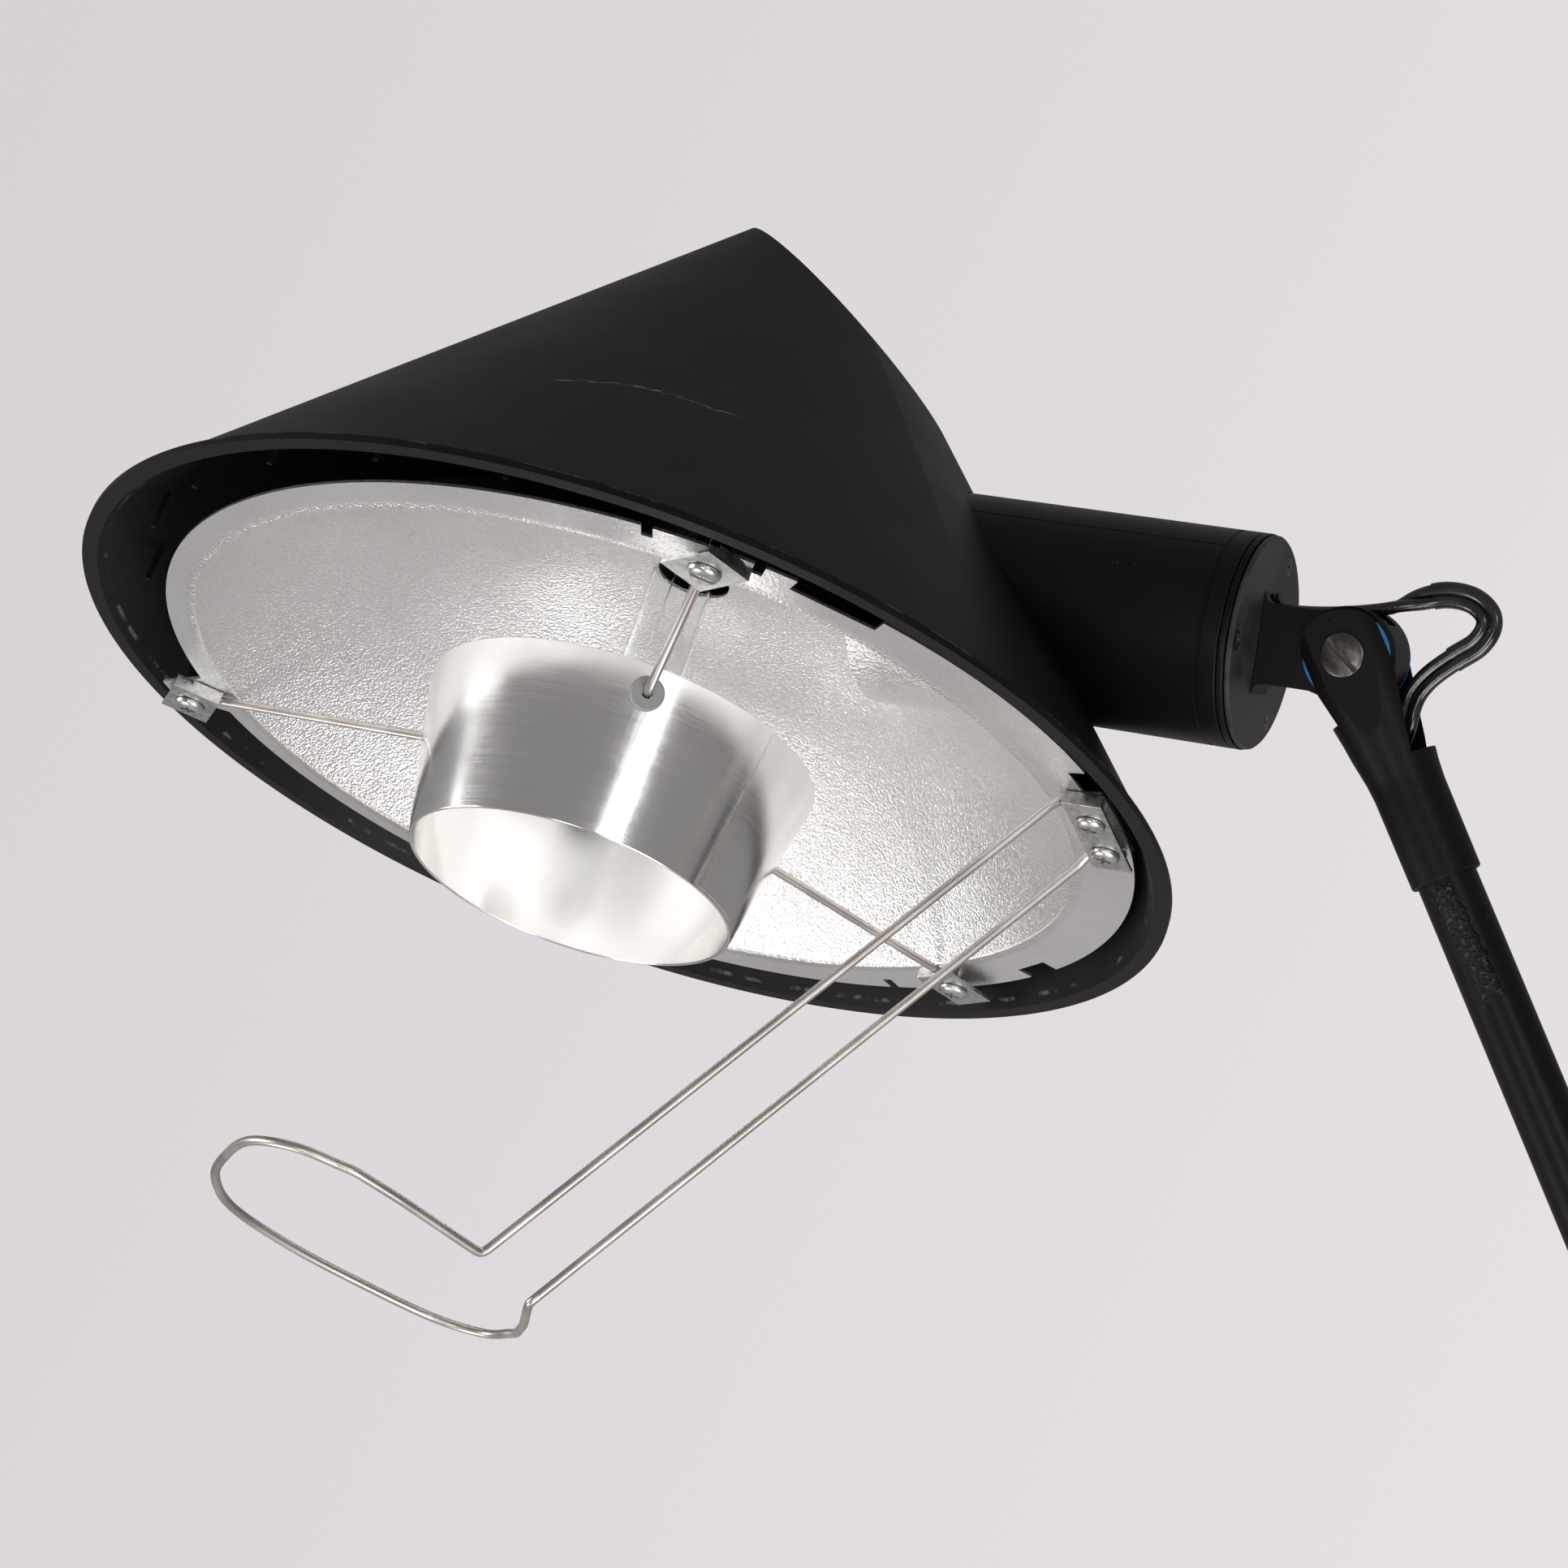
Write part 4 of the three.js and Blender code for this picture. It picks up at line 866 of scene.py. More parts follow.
def handle_route():
    """One bent wire, alike on both sides: from its bracket, down a straight, round a loop."""
    lean = turn("Y", REFLECTOR_LEAN)
    held = [(145.5, 12.4), (138.8, 13.2), (134.6, 15.4)]
    start = [lean @ Vector((x, y, WIRE_HEIGHT)) for x, y in held]
    bends = [
        (132.3, 16.9, -0.4), (24.3, 17.5, -151.5), (19.5, 27.3, -151), (11.4, 44.5, -150.2),
        (3.8, 57.5, -149.6),
    ]
    bow = [(-10, 66, -149.5), (-25, 62.4, -149.5), (-41, 44.5, -149.5), (-54, 24, -149.5)]
    side = rounded([*start, *map(Vector, bends), Vector(bow[0])], 4)[:-1]
    bow = [Vector(place) for place in bow]
    other = [Vector((place.x, -place.y, place.z)) for place in reversed([side[-1], *bow])]
    loop = smooth([side[-1], *bow, Vector((-60.5, 0, -149.5)), *other], 8)
    back = [Vector((place.x, -place.y, place.z)) for place in reversed(side[:-1])]
    return [*side[:-1], *loop, *back]


# ---- Knuckles, arm and cable --------------------------------------------------------------------
def make_fork(sizes):
    """A moulded fork: the pivot runs along Y through the origin and the socket hangs down."""
    body = turned([
        (0, -FORK_LENGTH), (9.0, -FORK_LENGTH), (9.45, -62.7), (9.6, -38), (10.0, -33), (11.1, -26),
        (11.7, -21), (13.8, -7), (13.8, 13), (0, 13),
    ], 96)
    ears = rod("y", 12, -EAR_OUTER, EAR_OUTER, sides=96)
    ears = ears.joined(block((-12, 12), (-EAR_OUTER, EAR_OUTER), (-FORK_LENGTH - 1, 0)))
    slot = plate([
        (-30, -16), (-3, -16), (1, -30), (30, -30), (30, 30), (-30, 30),
    ], -EAR_INNER, 2 * EAR_INNER).moved(turn("X", 90))
    bores = [
        rod("z", TUBE_RADIUS + 0.15, -FORK_LENGTH - 1, -41.2),
        rod("z", 4.5, -FORK_LENGTH, 0),
        rod("y", PIVOT_BORE, -30, 30),
    ]
    return body.common(ears).carved(slot, *bores).softened(sizes.edge / METRES, 3, 25)


def make_washer(side):
    edge = 13 if side > 0 else 11.8
    disc = turned([
        (3.1, 7.3), (edge - 0.2, 7.3), (edge, 7.5), (edge, 8), (edge - 0.2, 8.2), (3.1, 8.2),
    ], 96)
    return disc.moved(turn("X", -90 * side))


def make_pivot_screw():
    """A low domed head with a slot."""
    face = -EAR_OUTER - 1.15
    screw = turned([
        (0, -face), (3.2, -face - 0.06), (5.1, -face - 0.28), (5.8, -face - 0.62),
        (5.95, -face - 1), (3, -face - 1), (3, -15.7), (0, -15.7),
    ], 64)
    slot = block((-10, 10), (-0.6, 0.6), (-face - 0.6, 20)).moved(turn("Z", -73))
    return screw.carved(slot).softened(0.08, 2, 35).moved(turn("X", 90))


def make_nut():
    body = rod("y", 5.2, 11.85, 15.85, sides=6).softened(0.35, 2)
    return body.carved(rod("y", 3.15, 10, 17))


def make_elbow_tongue():
    eye = rod("y", 13, -TONGUE_HALF, TONGUE_HALF, sides=96)
    web = block((-9.45, 9.45), (-TONGUE_HALF, TONGUE_HALF), (0, 24))
    socket = turned([(0, 17), (7.45, 17), (9.45, 21), (9.45, 51), (8.45, 52), (0, 52)], 96)
    bores = [
        rod("y", PIVOT_BORE, -30, 30), rod("z", 8.15, 26, 53), rod("z", 4.5, 15, 27),
        rod("x", 4.5, 0, 30, (0, 19)),
    ]
    return eye.joined(web, socket).carved(*bores).softened(0.5, 3)


def make_knuckle_tongue():
    root = 169.3 - PIVOT_REACH
    eye = rod("y", 13, -TONGUE_HALF, TONGUE_HALF, sides=96)
    fillet = [(root + 3 - 3 * math.sin(step), 10.6 + 3 - 3 * math.cos(step)) for step in (
        0, 0.35, 0.7, 1.05, math.pi / 2,
    )]
    upper = [(0, 12.9), (-9, 10.6), *fillet]
    outline = [*upper, *[(x, -y) for x, y in reversed(upper)]]
    web = plate(outline, -TONGUE_HALF, 2 * TONGUE_HALF).moved(turn("X", 90))
    groove = block((root - 1, 9), (-3.7, 3.7), (7.1, 30))
    return eye.joined(web).carved(groove, rod("y", PIVOT_BORE, -30, 30)).softened(0.6, 3)


CABLE_ROUTE = (
    (-25.3, 13.1), (-18, 12.3), (-10, 11.7), (-2.4, 11.6), (4, 11.9), (10.3, 12.6),
    (16.8, 14.4), (24.5, 15.6), (31.2, 14.2), (35.3, 10.6), (35.6, 6.6), (32.7, 2.5),
    (27.2, -0.8), (21.5, -4.6), (17.8, -8.1), (15.4, -12), (13.7, -18), (12.6, -24),
    (13.4, -31), (15.9, -37.3),
)


def pipe(inner, outer, low, high, edge=0.25, steps=96):
    """A tube along Z with its ends eased."""
    return turned([
        (inner, low), (outer - edge, low), (outer, low + edge), (outer, high - edge),
        (outer - edge, high), (inner, high),
    ], steps)


# ---- Stand --------------------------------------------------------------------------------------
def make_grip(radius, length):
    """A hand knob along +Z with shallow finger flutes."""
    body = turned([
        (0, 0), (radius * 0.62, 0), (radius * 0.62, 2), (radius - 1.5, 3), (radius, 4.5),
        (radius, length - 1.5), (radius - 0.5, length - 0.5), (radius - 1.5, length), (0, length),
    ], 96)
    scoops = [
        rod("z", radius * 0.22, 2.5, length + 1, (radius * 1.13, 0), sides=32).moved(
            turn("Z", index * 45)
        )
        for index in range(8)
    ]
    return body.carved(*scoops).softened(0.4, 3)


def make_hub():
    bottom, top, inner = HINGE_HEIGHT - 24, HINGE_HEIGHT + 16, 4.3
    body = turned([
        (0, bottom), (22, bottom), (23.4, bottom + 0.6), (24, bottom + 2), (24, top - 2),
        (23.4, top - 0.6), (22, top), (0, top),
    ], 96)
    lugs, pockets = [], []
    for azimuth in LEG_AZIMUTHS:
        for side in (1, -1):
            span = sorted((side * inner, side * (inner + 5)))
            bar = block((20, HINGE_RADIUS), span, (HINGE_HEIGHT - 8, HINGE_HEIGHT + 8))
            lug = bar.joined(rod("y", 8, *span, (HINGE_RADIUS, HINGE_HEIGHT)))
            bore = rod("y", PIVOT_BORE, span[0] - 1, span[1] + 1, (HINGE_RADIUS, HINGE_HEIGHT))
            lug = lug.carved(bore)
            lugs.append(lug.moved(turn("Z", azimuth)))
        pocket = block((HINGE_RADIUS - 8.3, 60), (-inner, inner), (bottom - 1, top + 1))
        pockets.append(pocket.moved(turn("Z", azimuth)))
    bores = [
        rod("z", 11.15, bottom - 1, top + 1, sides=96),
        rod("x", 4.55, 0, 26, (0, GLAND_HEIGHT)),
    ]
    return body.joined(*lugs).carved(*bores, *pockets).softened(0.5, 2, 30)


def leg_length():
    return (HINGE_HEIGHT - 8) / math.cos(math.radians(LEG_LEAN))


def make_leg():
    """A tube with a flattened eye at its top."""
    long = leg_length()
    eye = rod("y", 8, -4, 4, sides=64)
    shank = block((-5.5, 5.5), (-4, 4), (-20, 0))
    tube = rod("z", 7, -long, -13, sides=64)
    bores = [rod("z", 5.8, -long - 1, -24), rod("y", PIVOT_BORE, -10, 10)]
    return eye.joined(shank, tube).carved(*bores).softened(0.5, 3)


def make_foot():
    """A rubber foot with three grip rings and a flat sole."""
    profile = [(0, -11)]
    profile += [
        (11 * math.cos(step * math.pi / 24), 11 * math.sin(step * math.pi / 24))
        for step in range(-11, 1)
    ]
    profile += [
        (10.7, 4), (10.1, 4.4), (10.1, 5.6), (10.5, 6), (10.4, 9), (9.8, 9.4), (9.8, 10.6),
        (10.2, 11), (10.1, 14), (9.5, 14.4), (9.5, 15.6), (9.9, 16), (9.6, 25.2), (8.8, 26),
        (0, 26),
    ]
    body = turned(profile, 96)
    pocket = rod("z", 7.15, -0.15, 27, sides=64)
    floor = block((-40, 40), (-40, 40), (-40, -8)).moved(turn("Y", LEG_LEAN))
    return body.carved(pocket, floor).softened(0.4, 2, 30).moved(shift(z=-leg_length()))


def make_leg_bolt():
    shank = rod("y", 3, -9.5, 9.5)
    head = rod("y", 5.4, -12.45, -9.45).softened(0.4, 2)
    nut = rod("y", 5.6, 9.45, 13.45, sides=6).softened(0.3, 2)
    return shank.joined(head, nut).carved(rod("y", 2, -13.5, -10.85, sides=6))


def make_collar():
    body = turned([
        (0, 594), (14.2, 594), (15, 594.8), (15, 623.2), (14.2, 624), (0, 624),
    ], 96)
    body = body.joined(rod("x", 6.5, 0, 19, (0, CLAMP_HEIGHT)))
    bores = [
        rod("z", 11.15, 593, 610.3, sides=96), rod("z", 8.25, 594, 625, sides=96),
        rod("x", 3.1, 0, 20, (0, CLAMP_HEIGHT)),
    ]
    return body.carved(*bores).softened(0.4, 2, 30)


# ---- Lampholder and bulb ------------------------------------------------------------------------
def make_lampholder():
    body = turned([
        (0, 72), (18.5, 72), (19.2, 72.3), (19.5, 73), (19.5, 94), (19, 95.2), (17.5, 96),
        (17.5, 130), (7, 136), (7, 143.7), (0, 143.7),
    ], 96)
    return body.carved(rod("z", 7.9, 71, 100), rod("x", 3, 0, 30, (0, 122))).softened(0.4, 2, 30)


def make_bulb():
    """A tubular bulb with a round tip."""
    def wall(radius):
        angles = [math.radians(-90 + index * 7.5) for index in range(13)]
        arc = [(radius * math.cos(angle), 21 + radius * math.sin(angle)) for angle in angles]
        return [(0, arc[0][1]), *arc[1:], (radius, 71.7)]

    return turned([*wall(9), *reversed(wall(8))], 96)


def make_bulb_cap():
    profile = [(0, 72), (7.2, 72), (7.5, 72.4), (7.5, 95.7), (7.2, 96), (5.5, 99.2), (5, 99.7)]
    filament = smooth([
        Vector((2.2 * math.cos(angle), 2.2 * math.sin(angle), 15 + index * 0.22))
        for index, angle in enumerate([step * math.pi / 3 for step in range(49)])
    ], 3)
    short = [(0, 0, 72.5), (3, 0, 66), (2.2, 0, 25.5)]
    tall = [(0, 0, 72.5), (-3, 0, 66), (-3.4, 0, 14), (2.2, 0, 15)]
    leads = [wire([Vector(place) for place in route], 0.3, 3) for route in (short, tall)]
    return turned([*profile, (0, 99.7)], 96).beside(wire(filament, 0.22, 3), *leads)


# ---- Settings -----------------------------------------------------------------------------------
def length(name, description, default, low, high):
    return FloatProperty(
        name=name, description=description, default=default, min=low, max=high, unit="LENGTH"
    )


def colour(name, description, default):
    return FloatVectorProperty(
        name=name, description=description, default=default, min=0, max=1, size=3, subtype="COLOR"
    )


class LampSizes(bpy.types.PropertyGroup):
    edge: length("Edge radius", "Rounding of the moulded edges", 0.0006, 0.0001, 0.0015)
    rim_height: length("Rim height", "Height of the shade's upright rim", 0.002, 0.001, 0.005)
    wire_radius: length("Wire radius", "Radius of the handle and spokes", 0.00125, 0.0005, 0.002)
    cable_radius: length("Cable radius", "Radius of one core of the cable", 0.0016, 0.001, 0.002)


class LampLooks(bpy.types.PropertyGroup):
    lacquer: colour("Lacquer", "Colour of the black paint", (0.0052, 0.0042, 0.0048))
    lacquer_worn: colour("Worn lacquer", "Colour where the paint is rubbed", (0.022, 0.018, 0.020))
    cable: colour("Cable", "Colour of the cable", (0.005, 0.005, 0.006))
    aluminium: colour("Aluminium", "Colour of the reflector", (0.93, 0.925, 0.91))
    rust: colour("Rust", "Colour of the spots on the wire", (0.16, 0.06, 0.025))
    washer: colour("Washer", "Colour of the friction washers", (0.015, 0.17, 0.42))
    sheen: FloatProperty(
        name="Sheen", description="How strongly the lacquer reflects", default=0.16, min=0, max=1
    )
    glass: colour("Glass", "Colour of the bulb's glass", (0.97, 0.97, 0.96))
    floor: colour("Floor", "Colour of the floor", (0.70, 0.68, 0.69))
    backdrop: colour("Backdrop", "Colour of the backdrop", (0.74, 0.705, 0.725))
    dent_size: length("Dent size", "Width of one hammered dent", 0.0009, 0.0003, 0.006)
    dent_depth: length("Dent depth", "Depth of the hammered dents", 0.0003, 0.00002, 0.001)


# ---- Operators ----------------------------------------------------------------------------------
class LampOperator:
    """Shared settings of the lamp's operators."""

    bl_options = {"REGISTER", "UNDO"}

    def execute(self, context):
        self.build(
            read_frames(frame["joints"]), context.scene.lamp_sizes, context.scene.lamp_looks
        )
        return {"FINISHED"}


class LAMP_OT_stage(LampOperator, bpy.types.Operator):
    """Add the camera, the floor and the studio light"""

    bl_idname = "lamp.stage"
    bl_label = "Stage"

    def build(self, frames, sizes, looks):
        scene = bpy.context.scene
        upper = frames["upper"].translation
        lens = bpy.data.cameras.new("camera")
        lens.lens = CAMERA_LENS
        lens.sensor_width = 36
        lens.clip_end = 100
        camera = bpy.data.objects.new("camera", lens)
        camera.location = (upper + Vector(CAMERA_OFFSET)) * METRES
        camera.rotation_euler = (math.radians(90), 0, math.radians(CAMERA_YAW))
        scene.collection.objects.link(camera)
        scene.camera = camera
        mesh = bmesh.new()
        bmesh.ops.create_circle(mesh, cap_ends=True, radius=2.5, segments=128)
        data = bpy.data.meshes.new("floor")
        mesh.to_mesh(data)
        mesh.free()
        floor = bpy.data.objects.new("floor", data)
        scene.collection.objects.link(floor)
        paint = Paint("floor")
        paint.set(Base_Color=tone(*looks.floor), Roughness=0.8)
        data.materials.append(paint.material)
        # Places and widths are in metres, power in watts.
        aim = Vector((-0.2, 0, 1.3))
        lights = (
            ("key", (-1.9, -0.9, 1.55), 0.8, 17), ("fill", (1.6, -1.9, 1.7), 0.5, 7),
            ("top", (-0.3, 1.3, 2.9), 1.4, 20), ("below", (0.55, -0.9, 0.3), 0.8, 12),
            ("front", (0.05, -2.1, 0.9), 0.45, 6), ("low", (-1.1, -0.9, 0.2), 0.6, 8),
        )
        for name, place, size, power in lights:
            lamp = bpy.data.lights.new(name, "AREA")
            lamp.size = size
            lamp.energy = power
            light = bpy.data.objects.new(name, lamp)
            light.location = place
            light.rotation_euler = (Vector(place) - aim).to_track_quat("Z", "Y").to_euler()
            scene.collection.objects.link(light)
            light.visible_glossy = name != "top"
        world = bpy.data.worlds.new("studio")
        world.use_nodes = True
        nodes, links = world.node_tree.nodes, world.node_tree.links
        seen = nodes["Background"]
        # Painted light: the backdrop seen by the camera is made brighter towards the right and
        # lower side of the view and darker towards the upper left, as light falling off across a
        # lit wall. Other rays see an even dim grey.
        side = nodes.new("ShaderNodeVectorMath")
        side.operation = "DOT_PRODUCT"
        side.inputs[1].default_value = (0.8, 0.35, -0.45)
        links.new(nodes.new("ShaderNodeTexCoord").outputs["Generated"], side.inputs[0])
        painted_backdrop_falloff = nodes.new("ShaderNodeMapRange")
        for socket, level in zip(painted_backdrop_falloff.inputs[1:5], (-0.25, 0.25, 0.92, 1.07)):
            socket.default_value = level
        links.new(side.outputs["Value"], painted_backdrop_falloff.inputs[0])
        seen.inputs["Color"].default_value = tone(*looks.backdrop)
        links.new(painted_backdrop_falloff.outputs[0], seen.inputs["Strength"])
        dim = nodes.new("ShaderNodeBackground")
        dim.inputs["Color"].default_value = (0.50, 0.485, 0.49, 1)
        dim.inputs["Strength"].default_value = 0.5
        pick = nodes.new("ShaderNodeMixShader")
        links.new(nodes.new("ShaderNodeLightPath").outputs["Is Camera Ray"], pick.inputs[0])
        links.new(dim.outputs[0], pick.inputs[1])
        links.new(seen.outputs[0], pick.inputs[2])
        links.new(pick.outputs[0], nodes["World Output"].inputs["Surface"])
        scene.world = world
        scene.view_settings.view_transform = "Standard"


class LAMP_OT_cable(LampOperator, bpy.types.Operator):
    """Add the loop of cable over the upper knuckle"""

    bl_idname = "lamp.cable"
    bl_label = "Cable"

    @staticmethod
    def beside(route, offset):
        """One core's route. The cores lie side by side in the knuckle and twist in the loop."""
        last = len(route) - 1
        moved = []
        for index, point in enumerate(route):
            along = route[min(index + 1, last)] - route[max(index - 1, 0)]
            inward = along.normalized().cross(Vector((0, 1, 0)))
            share = max(0, min(1, (index - 34) / 14, (122 - index) / 14))
            angle = math.pi / 2 * share * share * (3 - 2 * share)
            across = Vector((0, math.cos(angle), 0)) + inward * math.sin(angle)
            moved.append(point + across * offset)
        return moved

    def build(self, frames, sizes, looks):
        route = smooth([Vector((x, 0, z)) for x, z in CABLE_ROUTE], 8)
        core = sizes.cable_radius / METRES
        cores = [wire(self.beside(route, side * (core - 0.05)), core, 6) for side in (1, -1)]
        sleeves = [
            wire(self.beside(route, side * core)[46:86], core + 0.3, 6) for side in (1, -1)
        ]
        form = cores[0].beside(cores[1], *sleeves)
        upper = frames["upper"]
        ends = [upper @ Vector(place) * METRES for place in ((14, 0, -12), (-6, 0, 12))]
        piece = show(
            form, "cable_loop", upper, "cable_black", ("arm", "knuckle", *ends), "cable_fine"
        )
        path = [upper @ point * METRES for point in route]
        run = sum((end - start).length for start, end in zip(path, path[1:]))


class LAMP_OT_shade(LampOperator, bpy.types.Operator):
    """Add the cone shade"""

    bl_idname = "lamp.shade"
    bl_label = "Shade"

    def build(self, frames, sizes, looks):
        show(make_shade(sizes), "shade", frames["head"], "shade_black", "head")


class LAMP_OT_housing(LampOperator, bpy.types.Operator):
    """Add the housing, its swivel band, end cap and screws"""

    bl_idname = "lamp.housing"
    bl_label = "Housing"

    def build(self, frames, sizes, looks):
        swivel = frames["swivel"]
        show(make_housing(), "housing", frames["head"], "housing_black", "head")
        show(make_swivel_band(), "swivel_band", swivel, "housing_black", "knuckle")
        show(make_end_cap(), "end_cap", swivel, "cap_grey", "knuckle")
        for index, place in enumerate(cap_places()):
            node = f"cap_screw_{index + 1}"
            screw = make_cap_screw(place)
            show(screw, node, swivel, "dark_steel", "knuckle")


class LAMP_OT_reflector(LampOperator, bpy.types.Operator):
    """Add the hammered reflector, the anti-glare ring and its spokes"""

    bl_idname = "lamp.reflector"
    bl_label = "Reflector"

    def build(self, frames, sizes, looks):
        inner = frames["inner"]
        show(make_reflector(), "reflector", inner, "hammered_aluminium", "head")
        show(make_ring(), "glare_ring", inner, "polished_aluminium", "head")
        for letter, angle in CLIP_ANGLES.items():
            spoke = make_spoke(angle, sizes.wire_radius / METRES)
            node = f"spoke_{letter}"
            show(spoke, node, inner, "spring_wire", "head")
            node = f"grommet_{letter}"
            show(make_grommet(angle), node, inner, "grommet_grey", "head")


class LAMP_OT_clips(LampOperator, bpy.types.Operator):
    """Add the clips and the handle's bracket with their screws"""

    bl_idname = "lamp.clips"
    bl_label = "Clips"

    def build(self, frames, sizes, looks):
        inner = frames["inner"]
        for letter, angle in CLIP_ANGLES.items():
            node = f"clip_{letter}"
            show(make_clip(letter), node, inner, "zinc_plate", "head")
            node = f"clip_screw_{letter}"
            screw = make_pan_screw(4.4, "slot" if letter == "a" else "cross")
            screw.moved(shift(*on_circle(CLIP_CIRCLE, angle)))
            show(screw, node, inner, "zinc_plate", "head")
        bracket = make_bracket()
        show(bracket, "handle_bracket", inner, "zinc_plate", "head")
        for index, screw_place in enumerate(HANDLE_SCREWS, 1):
            node = f"handle_screw_{index}"
            screw = make_pan_screw(4, "cross").moved(shift(*screw_place))
            show(screw, node, inner, "zinc_plate", "head")


class LAMP_OT_handle(LampOperator, bpy.types.Operator):
    """Add the wire handle"""

    bl_idname = "lamp.handle"
    bl_label = "Handle"

    def build(self, frames, sizes, looks):
        form = wire(handle_route(), sizes.wire_radius / METRES, 6)
        show(form, "handle_wire", frames["head"], "spring_wire", "head")


class LAMP_OT_knuckles(LampOperator, bpy.types.Operator):
    """Add the two friction knuckles"""

    bl_idname = "lamp.knuckles"
    bl_label = "Knuckles"

    def build(self, frames, sizes, looks):
        pieces = (
            (make_fork(sizes), "elbow_fork", "lower", "cast_black", "elbow"),
            (make_fork(sizes), "knuckle_fork", "arm_top", "cast_black", "arm"),
            (make_washer(-1), "elbow_washer_near", "lower", "washer_blue", "elbow"),
            (make_washer(1), "elbow_washer_far", "lower", "washer_blue", "elbow"),
            (make_washer(-1), "friction_washer_near", "arm_top", "washer_blue", "arm"),
            (make_washer(1), "friction_washer_far", "arm_top", "washer_blue", "arm"),
            (make_nut(), "elbow_nut", "lower", "dark_steel", "elbow"),
            (make_nut(), "pivot_nut", "arm_top", "dark_steel", "arm"),
            (make_pivot_screw(), "pivot_screw", "arm_top", "dark_steel", "arm"),
            (make_elbow_tongue(), "elbow_tongue", "arm", "cast_black", "arm"),
            (make_knuckle_tongue(), "knuckle_tongue", "knuckle", "cast_black", "knuckle"),
        )
        for form, node, place, finish, body in pieces:
            show(form, node, frames[place], finish, body)


class LAMP_OT_tubes(LampOperator, bpy.types.Operator):
    """Add the arm, the mast and the stem"""

    bl_idname = "lamp.tubes"
    bl_label = "Tubes"

    def build(self, frames, sizes, looks):
        stem = frames["stem"]
        arm_tube = pipe(6.8, TUBE_RADIUS, 26.3, 518.5)
        show(arm_tube, "arm_tube", frames["arm"], "arm_black", "arm")
        mast = pipe(6.7, TUBE_RADIUS, 430, 778.5)
        show(mast, "mast_tube", stem, "satin_black", "mast")
        bush = pipe(8.15, 9.4, 430, 450)
        show(bush, "mast_bush", stem, "rubber_black", "mast")
        tube = pipe(9.6, 11, 290, 610).carved(rod("x", 4.55, 0, 13, (0, GLAND_HEIGHT)))
        show(tube, "stem_tube", stem, "satin_black", "stand")


class LAMP_OT_stand(LampOperator, bpy.types.Operator):
    """Add the tripod hub, the legs, the feet and the fittings"""

    bl_idname = "lamp.stand"
    bl_label = "Stand"

    def build(self, frames, sizes, looks):
        stem = frames["stem"]
        show(make_hub(), "tripod_hub", stem, "cast_black", "stand")
        show(make_collar(), "clamp_collar", stem, "cast_black", "stand")
        plug = turned([
            (0, 285.7), (10.2, 285.7), (11, 286.5), (11, 289.7), (9.4, 289.7), (9.4, 302), (0, 302),
        ], 96)
        show(plug, "stem_plug", stem, "rubber_black", "stand")
        gland = turned([
            (3.4, 10.1), (4.4, 10.1), (4.4, 24.3), (5.4, 24.3), (6, 24.9), (6, 28.2), (5.2, 29),
            (3.4, 29),
        ], 64).moved(shift(0, 0, GLAND_HEIGHT) @ AXES["x"])
        show(gland, "cable_gland", stem, "rubber_black", "stand")
        for index, body in enumerate(("leg_one", "leg_two", "leg_three"), 1):
            leg, foot, bolt = f"leg_{index}", f"foot_{index}", f"leg_bolt_{index}"
            place = frames[f"leg_{index}"]
            show(make_leg(), leg, place, "satin_black", body)
            show(make_foot(), foot, place, "rubber_black", body)
            hinge = frames[f"hinge_{index}"]
            show(make_leg_bolt(), bolt, hinge, "dark_steel", "stand")


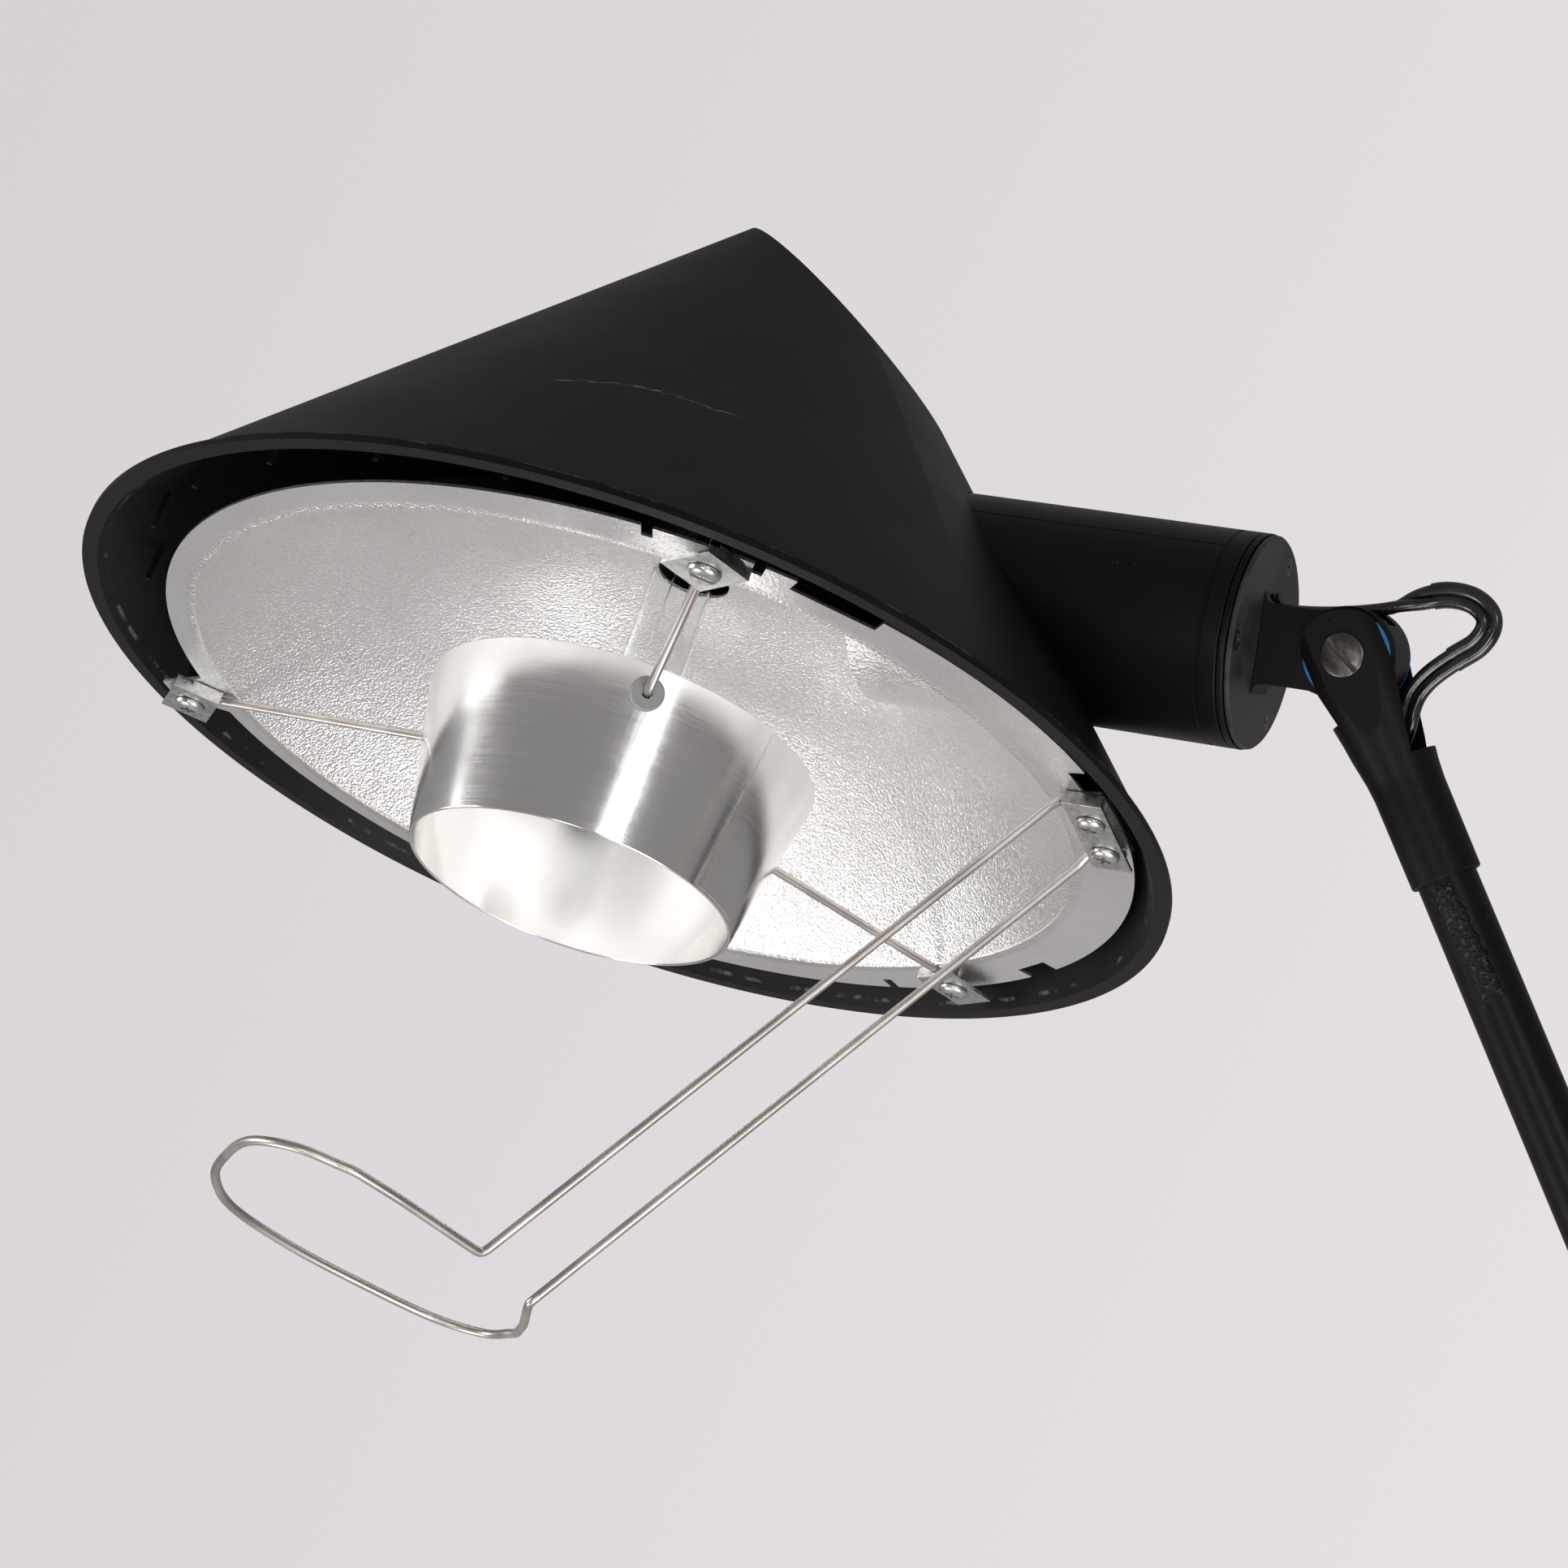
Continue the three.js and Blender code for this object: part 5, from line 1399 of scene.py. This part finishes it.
class LAMP_OT_knobs(LampOperator, bpy.types.Operator):
    """Add the two hand knobs"""

    bl_idname = "lamp.knobs"
    bl_label = "Knobs"

    def build(self, frames, sizes, looks):
        clamp = make_grip(12, 16).moved(shift(19.3) @ AXES["x"])
        clamp = clamp.joined(rod("x", 3, 8.3, 20.3))
        place = frames["stem"] @ shift(z=CLAMP_HEIGHT)
        show(clamp, "clamp_knob", place, "knob_black", "height_knob")
        elbow = make_grip(15, 14).moved(shift(0, -12) @ turn("X", 90))
        elbow = elbow.joined(rod("y", 3, -13, 15.7))
        place = frames["lower"]
        show(elbow, "elbow_knob", place, "knob_black", "arm_knob")


class LAMP_OT_bulb(LampOperator, bpy.types.Operator):
    """Add the lampholder and the bulb"""

    bl_idname = "lamp.bulb"
    bl_label = "Bulb"

    def build(self, frames, sizes, looks):
        inner = frames["inner"]
        show(make_lampholder(), "lampholder", inner, "porcelain", "head")
        show(make_bulb(), "bulb_glass", inner, "bulb_glass", "head")
        show(make_bulb_cap(), "bulb_cap", inner, "cap_brass", "head")


OPERATORS = (
    LAMP_OT_stage, LAMP_OT_cable, LAMP_OT_shade, LAMP_OT_housing, LAMP_OT_reflector,
    LAMP_OT_clips, LAMP_OT_handle, LAMP_OT_knuckles, LAMP_OT_tubes, LAMP_OT_stand, LAMP_OT_knobs,
    LAMP_OT_bulb,
)


class LAMP_PT_panel(bpy.types.Panel):
    """The lamp's pieces and settings"""

    bl_idname = "LAMP_PT_panel"
    bl_label = "Tripod Floor Lamp"
    bl_space_type = "VIEW_3D"
    bl_region_type = "UI"
    bl_category = "Lamp"

    def draw(self, context):
        layout = self.layout
        for group in (context.scene.lamp_sizes, context.scene.lamp_looks):
            column = layout.column(align=True)
            for name in group.__annotations__:
                column.prop(group, name)
        for operator in OPERATORS:
            layout.operator(operator.bl_idname)


CLASSES = (LampSizes, LampLooks, *OPERATORS, LAMP_PT_panel)


def register():
    for cls in CLASSES:
        bpy.utils.register_class(cls)
    bpy.types.Scene.lamp_sizes = PointerProperty(type=LampSizes)
    bpy.types.Scene.lamp_looks = PointerProperty(type=LampLooks)


def unregister():
    del bpy.types.Scene.lamp_looks
    del bpy.types.Scene.lamp_sizes
    for cls in reversed(CLASSES):
        bpy.utils.unregister_class(cls)


def main():
    register()
    for operator in OPERATORS:
        group, name = operator.bl_idname.split(".")
        getattr(getattr(bpy.ops, group), name)()


if __name__ == "__main__":
    main()
